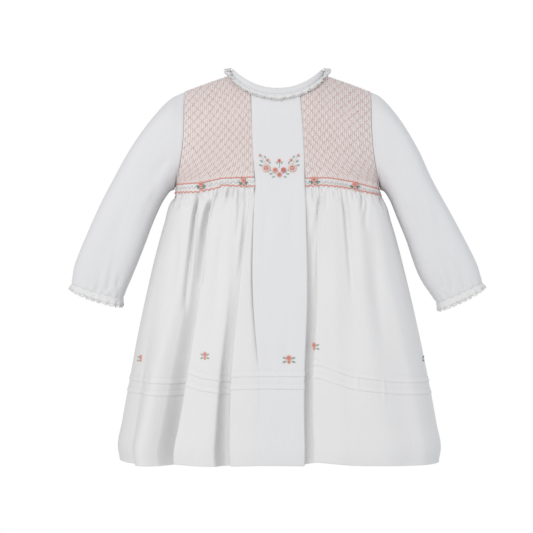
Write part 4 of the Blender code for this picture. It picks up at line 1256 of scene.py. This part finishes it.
class Nodes:
    """Short ways to add, set and join the nodes of a material or a world."""

    def __init__(self, owner):
        owner.use_nodes = True
        self.owner, self.tree = owner, owner.node_tree
        self.shader = self.tree.nodes.get("Principled BSDF")

    def feed(self, node, inputs):
        """Give each input its value, or join it to an output."""
        for key, value in inputs.items():
            if isinstance(value, bpy.types.NodeSocket):
                self.tree.links.new(value, node.inputs[key])
            else:
                node.inputs[key].default_value = value

    def add(self, kind, inputs, **settings):
        node = self.tree.nodes.new("ShaderNode" + kind)
        for key, value in settings.items():
            setattr(node, key, value)
        self.feed(node, inputs)
        return node

    def math(self, operation, first, second=0.0):
        return self.add("Math", {0: first, 1: second}, operation=operation).outputs[0]

    def mix(self, first, first_share, second, second_share=1.0):
        """The sum of two values, each times its share."""
        first = self.math("MULTIPLY", first, first_share)
        return self.math("ADD", first, self.math("MULTIPLY", second, second_share))

    def uv(self):
        """The place along the cloth or the thread, and its two parts."""
        uv = self.add("UVMap", {}, uv_map="cloth").outputs["UV"]
        split = self.add("SeparateXYZ", {0: uv})
        return uv, split.outputs["X"], split.outputs["Y"]

    def noise(self, vector, scale, detail=2.0, roughness=0.5):
        """Noise at a scale, or stretched by a scale along each axis."""
        if isinstance(scale, tuple):
            vector = self.add("Mapping", {"Vector": vector, "Scale": scale}).outputs["Vector"]
            scale = 1.0
        inputs = {"Vector": vector, "Scale": scale, "Detail": detail, "Roughness": roughness}
        return self.add("TexNoise", inputs).outputs["Fac"]

    def ramp(self, value, low, high, low_colour, high_colour):
        node = self.add("ValToRGB", {"Fac": value})
        for element, place, colour in zip(node.color_ramp.elements, (low, high), (low_colour, high_colour)):
            element.position, element.color = place, colour
        return node.outputs["Color"]

    def finish(self, surface, heights):
        """Feed the shader and join bumps one after another, in rows of height, metres and strength."""
        bump = {}
        for height, distance, strength in heights:
            inputs = {"Height": height, "Distance": distance, "Strength": strength}
            bump = {"Normal": self.add("Bump", inputs | bump).outputs["Normal"]}
        self.feed(self.shader, surface | bump)
        return self.owner


def shade(colour, factor):
    return tuple(min(channel * factor, 1.0) for channel in colour) + (1.0,)


def cotton(name, colour, thread_mm=0.32, slub=0.5, crinkle=0.3, valley_pink_and_shade=None):
    """Fine plain-woven cotton with slubs, a soft crinkle and small differences of colour."""
    nodes = Nodes(bpy.data.materials.new(name))
    uv, x, y = nodes.uv()
    turns = 2 * np.pi / (thread_mm * MM)
    warp, weft = (nodes.math("SINE", nodes.math("MULTIPLY", way, turns)) for way in (x, y))
    slubs = nodes.noise(uv, (900, 14, 1), 3.0, 0.6)
    cross_slubs = nodes.noise(uv, (16, 800, 1), 2.0, 0.5)
    soft = nodes.noise(uv, 55.0, 4.0, 0.55)
    cloudy = nodes.noise(uv, 9.0, 2.0, 0.5)
    uneven = nodes.mix(slubs, 0.6, cloudy, 0.4)
    tint = nodes.ramp(uneven, 0.3, 0.7, shade(colour, 0.965), shade(colour, 1.015))
    # Where the mesh asks for it, mix in the valley colour: the pink of the holding threads, darkened in the
    # pleat valleys as painted shade.
    if valley_pink_and_shade is not None:
        amount = nodes.add("Attribute", {}, attribute_name="valley_pink_and_shade").outputs["Fac"]
        mixed = nodes.add("Mix", {"Factor": amount, "A": tint, "B": shade(valley_pink_and_shade, 1)}, data_type="RGBA")
        tint = mixed.outputs["Result"]
    rough = nodes.add("MapRange", {"To Min": 0.78, "To Max": 0.95, "Value": slubs})
    surface = {
        "Base Color": tint,
        "Roughness": rough.outputs["Result"],
        "Specular IOR Level": 0.25,
        "Sheen Weight": 0.12,
        "Sheen Roughness": 0.5,
    }
    threads = nodes.mix(nodes.math("MULTIPLY", warp, weft), 0.25, slubs)
    threads = nodes.mix(cross_slubs, 0.6, threads)
    return nodes.finish(surface, ((soft, 0.0012, crinkle), (threads, 0.00012, slub)))


def thread(name, colour):
    """Stranded embroidery thread: a twist of fine fibres with a soft shine."""
    nodes = Nodes(bpy.data.materials.new(name))
    uv, x, y = nodes.uv()
    slant = nodes.math("ADD", y, x)
    twist = nodes.math("SINE", nodes.math("MULTIPLY", slant, 2 * np.pi / (0.55 * MM)))
    fibres = nodes.noise(uv, (6000, 900, 1))
    # The tint is darker along the grooves of the twist, where the bump sinks, as painted shade, and the
    # fibres vary it at random.
    tint = nodes.ramp(nodes.mix(twist, 0.12, fibres), 0.3, 0.7, shade(colour, 0.86), shade(colour, 1.08))
    surface = {"Base Color": tint, "Roughness": 0.55, "Specular IOR Level": 0.35, "Sheen Weight": 0.15}
    return nodes.finish(surface, ((twist, 0.00008, 0.6), (fibres, 0.00004, 0.4)))


def shell(name):
    """Mother-of-pearl: cream with faint clouds of pink and green, and a gloss."""
    nodes = Nodes(bpy.data.materials.new(name))
    inside = nodes.add("TexCoord", {}).outputs["Object"]
    clouds = nodes.noise(inside, (220, 220, 420), 3.0, 0.6)
    tint = nodes.ramp(clouds, 0.3, 0.75, (0.78, 0.72, 0.66, 1), (0.86, 0.86, 0.82, 1))
    surface = {"Base Color": tint, "Roughness": 0.22, "Coat Weight": 0.5, "Coat Roughness": 0.1}
    return nodes.finish(surface, ((clouds, 0.0002, 0.2),))


WHITE_COTTON = cotton("white_cotton", (0.76, 0.76, 0.77))
# The smocked cloth's last colour is its valley colour: pink of the holding threads, darker as painted
# shade.
SMOCKED_COTTON = cotton("smocked_cotton", (0.79, 0.785, 0.785), 0.32, 0.4, 0.1, (0.77, 0.655, 0.625))
LACE_COTTON = cotton("cotton_lace", (0.79, 0.79, 0.79), 0.5, 0.8, 0.2)
BUTTON_SHELL = shell("button_shell")
THREADS = [
    thread(name, colour)
    for name, colour in (
        ("pink_thread", (0.825, 0.63, 0.595)),
        ("salmon_thread", (0.84, 0.44, 0.38)),
        ("coral_thread", (0.82, 0.30, 0.24)),
        ("rose_red_thread", (0.68, 0.19, 0.15)),
        ("green_thread", (0.22, 0.35, 0.29)),
        ("grey_green_thread", (0.47, 0.56, 0.51)),
        ("orange_thread", (0.84, 0.47, 0.32)),
        ("white_thread", (0.80, 0.79, 0.78)),
        ("rose_pink_thread", (0.70, 0.28, 0.28)),
        ("mauve_thread", (0.60, 0.45, 0.46)),
        ("pale_pink_thread", (0.84, 0.60, 0.54)),
        ("line_thread", (0.83, 0.35, 0.29)),
    )
]

# --- Creases and stitch lines, seen from the front ---

# Creases, in rows of what add_crease takes: path, width and depth, and for some lean, grow and start
FRONT_CREASES = {
    -1: (
        ((-115, 141, -117, 160), 1.6, 1.8),
        ((-108, 141, -108.6, 156), 1.3, 1.8),
        ((-91.9, 140.4, -94.4, 151, -97.6, 168, -101, 208, -107.6, 280), 1.4, 4.8, 0.2, 1.1, 0.12),
        ((-90.4, 141, -93.6, 164), 1, 1.2),
        ((-83.6, 139, -83, 152), 1, 1.1),
        ((-72.4, 137, -77.8, 151, -82, 166, -84.8, 185, -85.8, 207, -89, 252), 1.4, 6.2, 0.4, 1.8, 0.2),
        ((-69, 138, -72.9, 153, -76.4, 174), 1.1, 1.4, 0.4),
        ((-56.3, 137, -62.6, 164), 1.3, 2.2),
        ((-49.4, 136, -49.9, 148), 1, 1.1),
        ((-44.2, 136, -44.9, 162, -46.6, 196), 1.2, 1.8, 0.3, 0.8),
        ((-33, 135, -36.4, 168, -40, 202, -43, 240), 1.9, 3.2, 0.3, 0.1, 0.03),
        ((-116, 176, -122, 250, -132, 330), 4, 1.5, 0.2, 1.6, 0.3),
        ((-62, 166, -69, 240, -75, 320), 3.4, 1.7, 0.3, 1.4, 0.3),
        ((-161.6, 351, -162, 368), 1.6, -0.5, 0, 0.2, 0.3),
        ((-154.6, 350, -155.2, 366), 1.6, -0.5, 0, 0.2, 0.3),
        ((-147.7, 352, -147.9, 364), 1.6, -0.4, 0, 0.2, 0.3),
    ),
    1: (
        ((40.1, 134.4, 42.2, 150, 42.1, 164), 1.1, 1.9, 0.3, 0.8),
        ((48.4, 134, 48.9, 145), 1, 1.1),
        ((53.4, 133.4, 50.3, 143.5, 45.8, 165.5, 42.4, 196.5, 41.6, 246), 1.7, 3, 0.3, 0.7, 0.15),
        ((57.5, 136, 56.4, 163), 1.1, 1.1),
        ((67.4, 137, 67.8, 149), 1, 1),
        ((76.1, 135.4, 77, 150, 79.5, 167, 82.5, 202, 86, 262), 1.6, 2.4, 0.3, 0.6, 0.15),
        ((88.6, 139, 89, 149), 1, 1),
        ((99.8, 140, 98.3, 164), 1.1, 1.9, 0.3, 0.8),
        ((105.4, 150, 102.4, 186), 1.4, 1.2),
        ((112, 176, 120.2, 319, 126, 384), 4.5, 0.9, 0.2, 1, 0.3),
        ((91.3, 350, 91.6, 378), 1.8, -0.6, 0, 0.2, 0.3),
        ((122.6, 354, 123.6, 392), 1.8, -0.6, 0, 0.2, 0.3),
    ),
}
PANEL_CREASES = (
    ((18, 140, 16, 190, 14, 240), 4, 0.7, 0.2, 1, 0.3),
    ((-14, 150, -15, 220), 5, 0.6, -0.2, 0.8, 0.3),
    ((10, 300, 14, 352), 4, 0.7, 0.2, 0.8, 0.4),
)
BACK_CREASES = (
    ((-96, 66, -70, 84, -52, 92), 4.5, 1.8, 0.3, 0.8, 0.2),
    ((-92, 96, -72, 104, -58, 106), 3.5, 1.2, 0.3, 0.8, 0.2),
    ((92, 70, 70, 86, 50, 96), 4.5, 1.7, -0.3, 0.8, 0.2),
    ((94, 108, 74, 110, 60, 108), 3.5, 1.2, -0.3, 0.8, 0.2),
    ((-20, 40, -34, 60, -36, 84), 4, 0.9, 0.2, 0.8, 0.3),
)
SLEEVE_CREASES = {
    -1: (
        ((-126, 96, -142, 118, -150, 146), 4.5, 1.1, 0.3, 1, 0.3),
        ((-136, 128, -152, 156, -164, 190), 4.5, 0.9, -0.3, 1, 0.3),
        ((-176, 150, -188, 188, -200, 226), 5, 0.8, 0.2, 0.8, 0.4),
        ((-202, 258, -197, 232, -190, 208), 2.2, 1, 0.2, 1.2),
        ((-214, 261, -210, 240, -205, 222), 2, 0.8, -0.2, 1.2),
        ((-190, 252, -187, 236), 1.8, 0.8, 0.2, 1),
    ),
    1: (
        ((126, 98, 140, 120, 146, 150), 4.5, 1.1, -0.3, 1, 0.3),
        ((140, 140, 158, 172, 168, 206), 5, 0.9, 0.3, 0.9, 0.3),
        ((180, 142, 190, 176, 202, 214), 5, 0.8, -0.2, 0.8, 0.4),
        ((208, 258, 203, 232, 196, 210), 2.2, 1, -0.2, 1.2),
        ((222, 256, 217, 236, 212, 220), 2, 0.8, 0.2, 1.2),
        ((196, 254, 193, 238), 1.8, 0.8, -0.2, 1),
    ),
}
# the upper and the lower line of coral stitches, in points of x and drop
STITCH_LINES = {
    -1: (
        np.array([(-120, 130.0), (-90, 128.8), (-65, 124), (-28, 122.8)]),
        np.array([(-120, 139.5), (-96, 139.8), (-72, 135.5), (-64, 132), (-45, 133.3), (-28, 133.3)]),
    ),
    1: (
        np.array([(30, 124), (59, 123.5), (88, 127.6), (119, 135.3)]),
        np.array([(31, 133.3), (54, 132.2), (77, 134.3), (99, 138.7), (119, 142.6)]),
    ),
}

# --- The pieces ---

smocking, sprays = {}, {}
for side in SIDES:
    ground, height = side_front_cloth(side)
    smocking[side], sprays[side] = Sewing(ground), Sewing(ground)
    trellis(smocking[side], height)
    upper, lower = STITCH_LINES[side]
    line_over_pleats(smocking[side], upper, LINE, CORAL_RADIUS, 0.2)
    line_over_pleats(smocking[side], lower, LINE, CORAL_RADIUS * 1.1, 0.6)
    line_over_pleats(smocking[side], upper + (0, 5.0), WHITE, 0.4, 1.6)
garland = Sewing(panel_cloth())
for side in SIDES:
    back_half_cloth(side)
back_skirt_cloth()
placket_cloth()
for side in SIDES:
    sleeve_cloth(side)
neck_band_cloth()

# Edgings, in rows of name, surface, waves, scallops, centre, where the strip starts and its dip there
EDGINGS = [("neck_lace{}", neck_lace_surface, NECK_WAVES, NECK_SCALLOPS, ORIGIN, -0.15, 0.5)]
for side, name in SIDES.items():
    surface, centre = cuff_lace_surface(side), mirrored(WRIST, side)
    EDGINGS.append(("cuff_lace{}_" + name, surface, CUFF_WAVES, CUFF_SCALLOPS, centre, -0.16, 1.1))
for name, surface, waves, _, centre, start, dip in EDGINGS:
    lace_piece(name.format(""), surface, waves, centre, start, dip)
for name, surface, _, scallops, centre, _, _ in EDGINGS:
    lace_edge(name.format("_edge"), surface, scallops, centre)

for side, x, z in ((-1, -90.2, -132.5), (-1, -40.1, -128.6), (1, 42.9, -127.6), (1, 90.2, -132.6)):
    band_spray(smocking[side], x, z)

# The garland on the centre strip: roses (slot, heart slot, x, rise, size) and leaves (x, rise, direction,
# length) mirrored about its middle
GARLAND_X = 1.8
GARLAND_Z = -120.1
GARLAND_ROSES = (
    (SALMON, CORAL, 4.9, 5.4, 6.2),
    (PALE, SALMON, 15.2, 7.6, 9.4),
    (PALE, ROSE_PINK, 13.8, 16.9, 4.4),
    (PALE, MAUVE, 22.2, 22.4, 4.0),
)
GARLAND_LEAVES = (
    (5.0, -1.6, -0.5, 4.0),
    (7.6, 1.2, -0.1, 4.4),
    (9.6, 5.0, 0.5, 3.4),
    (19.6, 10.6, 0.2, 4.6),
    (19.0, 14.2, 0.7, 4.8),
    (10.6, 12.4, 1.2, 3.6),
    (15.6, 19.2, 0.9, 4.0),
    (2.2, 12.4, 1.1, 3.4),
)
rose(garland, GARLAND_X, GARLAND_Z, 6.0, SALMON, ROSE_PINK, 1.0, 0.4)
rose(garland, GARLAND_X, GARLAND_Z + 16.2, 4.6, CORAL, RED, 0.8, 0.2)
t = np.linspace(0, 1, 6)
stem(garland, GARLAND_X, GARLAND_Z + 8.0, np.stack([0.4 * np.sin(2.5 * t), 6.6 * t], axis=-1), GREEN)
t = np.linspace(0, 1, 9)
for way in (-1, 1):
    for number, (slot, heart, x, rise, size) in enumerate(GARLAND_ROSES):
        slot = ROSE_PINK if way > 0 and number == 0 else slot
        rose(garland, GARLAND_X + way * x, GARLAND_Z + rise, size, slot, heart, 1.0, number + way)
    for x, rise, direction, length in GARLAND_LEAVES:
        turned = direction if way > 0 else np.pi - direction
        leaf(garland, GARLAND_X + way * x, GARLAND_Z + rise, turned, length, GREY_GREEN, 0, 0.36)
    bough = np.stack([way * (3 + 18 * t), 0.5 + 21 * t**1.6], axis=-1)
    stem(garland, GARLAND_X, GARLAND_Z, bough, GREY_GREEN, 0.2)

skirt_spray(sprays[-1], -161.7, -336.0, 5.4, 0.55, (-1,))
skirt_spray(sprays[-1], -84.5, -330.5, 6.0, 0.6, (-1, 1))
skirt_spray(garland, 12.7, -334.4, 6.6, 1.0, (-1, 1))
skirt_spray(sprays[1], 42.0, -319.5, 5.8, 0.7, (1,))
leaf(sprays[1], 170.8, -336.0, 0.5, 4.6, GREEN)
leaf(sprays[1], 171.0, -338.0, -0.4, 3.6, GREEN)

for side, name in SIDES.items():
    smocking[side].finish(f"smocking_{name}_threads", THREADS)
garland.finish("garland_threads", THREADS)
for side, name in SIDES.items():
    sprays[side].finish(f"skirt_spray_{name}_threads", THREADS)

# --- What each piece stands for ---

# Each sheet: its piece, node and slot, its cut as far as it shows (width and length, then area, in
# metres), how it hangs, what holds it and what is sewn on it
BINDING = "neck_binding_cloth"
SHEETS = (
    ("front_left_cloth", "front_left", "smocked_cotton", (0.33, 0.46), 0.098, "gathered",
     [BINDING], ["smocking_left_threads", "skirt_spray_left_threads"]),
    ("front_right_cloth", "front_right", "smocked_cotton", (0.22, 0.46), 0.075, "gathered",
     [BINDING], ["smocking_right_threads", "skirt_spray_right_threads"]),
    ("front_center_cloth", "front_center", "white_cotton", (0.067, 0.44), 0.0278, "hung",
     [BINDING], ["garland_threads"]),
    ("back_left_cloth", "back_left", "white_cotton", (0.134, 0.14), 0.016, "gathered", [BINDING], []),
    ("back_right_cloth", "back_right", "white_cotton", (0.134, 0.14), 0.016, "gathered", [BINDING], []),
    ("back_skirt_cloth", "skirt_back", "white_cotton", (0.5, 0.33), 0.1375, "gathered",
     ["back_left_cloth", "back_right_cloth"], []),
    ("back_placket_cloth", "back_placket", "white_cotton", (0.016, 0.097), None, "hung", [BINDING], []),
    ("sleeve_left_cloth", "sleeve_left", "white_cotton", (0.225, 0.265), 0.0497, "gathered",
     ["front_left_cloth", "back_left_cloth"], []),
    ("sleeve_right_cloth", "sleeve_right", "white_cotton", (0.215, 0.265), 0.0476, "gathered",
     ["front_right_cloth", "back_right_cloth"], []),
    (BINDING, "neck_band", "white_cotton", (0.33, 0.0105), None, "stretched",
     ["front_left_cloth", "front_right_cloth", "front_center_cloth"], []),
    ("neck_lace", "neck_frill", "cotton_lace", (0.36, 0.01), None, "gathered",
     [BINDING], ["neck_lace_edge"]),
    ("cuff_lace_left", "cuff_frill_left", "cotton_lace", (0.2, 0.01), None, "gathered",
     ["sleeve_left_cloth"], ["cuff_lace_edge_left"]),
    ("cuff_lace_right", "cuff_frill_right", "cotton_lace", (0.2, 0.01), None, "gathered",
     ["sleeve_right_cloth"], ["cuff_lace_edge_right"]),
)
BUTTONS = ("button_1", "button_2", "button_3", "button_4")

for name, node, *_ in SHEETS:
    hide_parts(node)
for node in BUTTONS:
    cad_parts[node].material_slots[0].material = BUTTON_SHELL

# --- Camera, light and stage ---

CAMERA_PLACE = (-0.0132, -2.2, -0.2274)
CAMERA_LENS = 123.8
LIT_PLACE = Vector((0, 0, -0.22))
# a pale floor, so low that views from below still see the dress
FLOOR_Z = -1.5
FLOOR_RADIUS = 0.55
FLOOR_SIDES = 96

scene = bpy.context.scene
scene.view_settings.view_transform = "Standard"


def put(name, data, place=ORIGIN, turned=ORIGIN):
    """Link an object of the stage."""
    thing = bpy.data.objects.new(name, data)
    thing.location, thing.rotation_euler = place, turned
    scene.collection.objects.link(thing)
    return thing


camera_data = bpy.data.cameras.new("camera")
camera_data.sensor_width = 36
camera_data.lens = CAMERA_LENS
scene.camera = put("camera", camera_data, CAMERA_PLACE, (np.pi / 2, 0, 0))

for name, spot, size, watts, colour in (
    ("key", (-0.9, -2.05, 0.4), 1.2, 21, (1.0, 0.98, 0.955)),
    ("side", (2.1, -0.7, -0.1), 1.4, 4.5, (0.97, 0.985, 1.0)),
    ("back", (1.3, 2.0, 0.5), 1.4, 9, (1.0, 0.99, 0.97)),
):
    light = bpy.data.lights.new(name, "AREA")
    light.energy, light.size, light.color = watts, size, colour
    put(name, light, spot, (LIT_PLACE - Vector(spot)).to_track_quat("-Z", "Y").to_euler())

paint = Nodes(bpy.data.materials.new("floor_paint"))
paint.feed(paint.shader, {"Base Color": (0.86, 0.86, 0.85, 1), "Roughness": 0.9})
turn = np.linspace(0, 2 * np.pi, FLOOR_SIDES, endpoint=False)
rim = FLOOR_RADIUS * np.stack([np.cos(turn), np.sin(turn), 0 * turn], axis=-1) + (0, 0, FLOOR_Z)
floor_mesh = bpy.data.meshes.new("floor")
floor_mesh.from_pydata(rim.tolist(), [], [list(range(FLOOR_SIDES))])
floor_mesh.materials.append(paint.owner)
put("floor", floor_mesh)

# the camera sees a white background, and the dress is lit by a slightly blue one
scene.world = bpy.data.worlds.new("studio")
sky = Nodes(scene.world)
sky.tree.nodes.clear()
seen = sky.add("Background", {"Color": (1, 1, 1, 1)})
lit = sky.add("Background", {"Color": (0.96, 0.975, 1, 1), "Strength": 0.67})
ray = sky.add("LightPath", {})
both = {0: ray.outputs["Is Camera Ray"], 1: lit.outputs[0], 2: seen.outputs[0]}
sky.add("OutputWorld", {"Surface": sky.add("MixShader", both).outputs[0]})
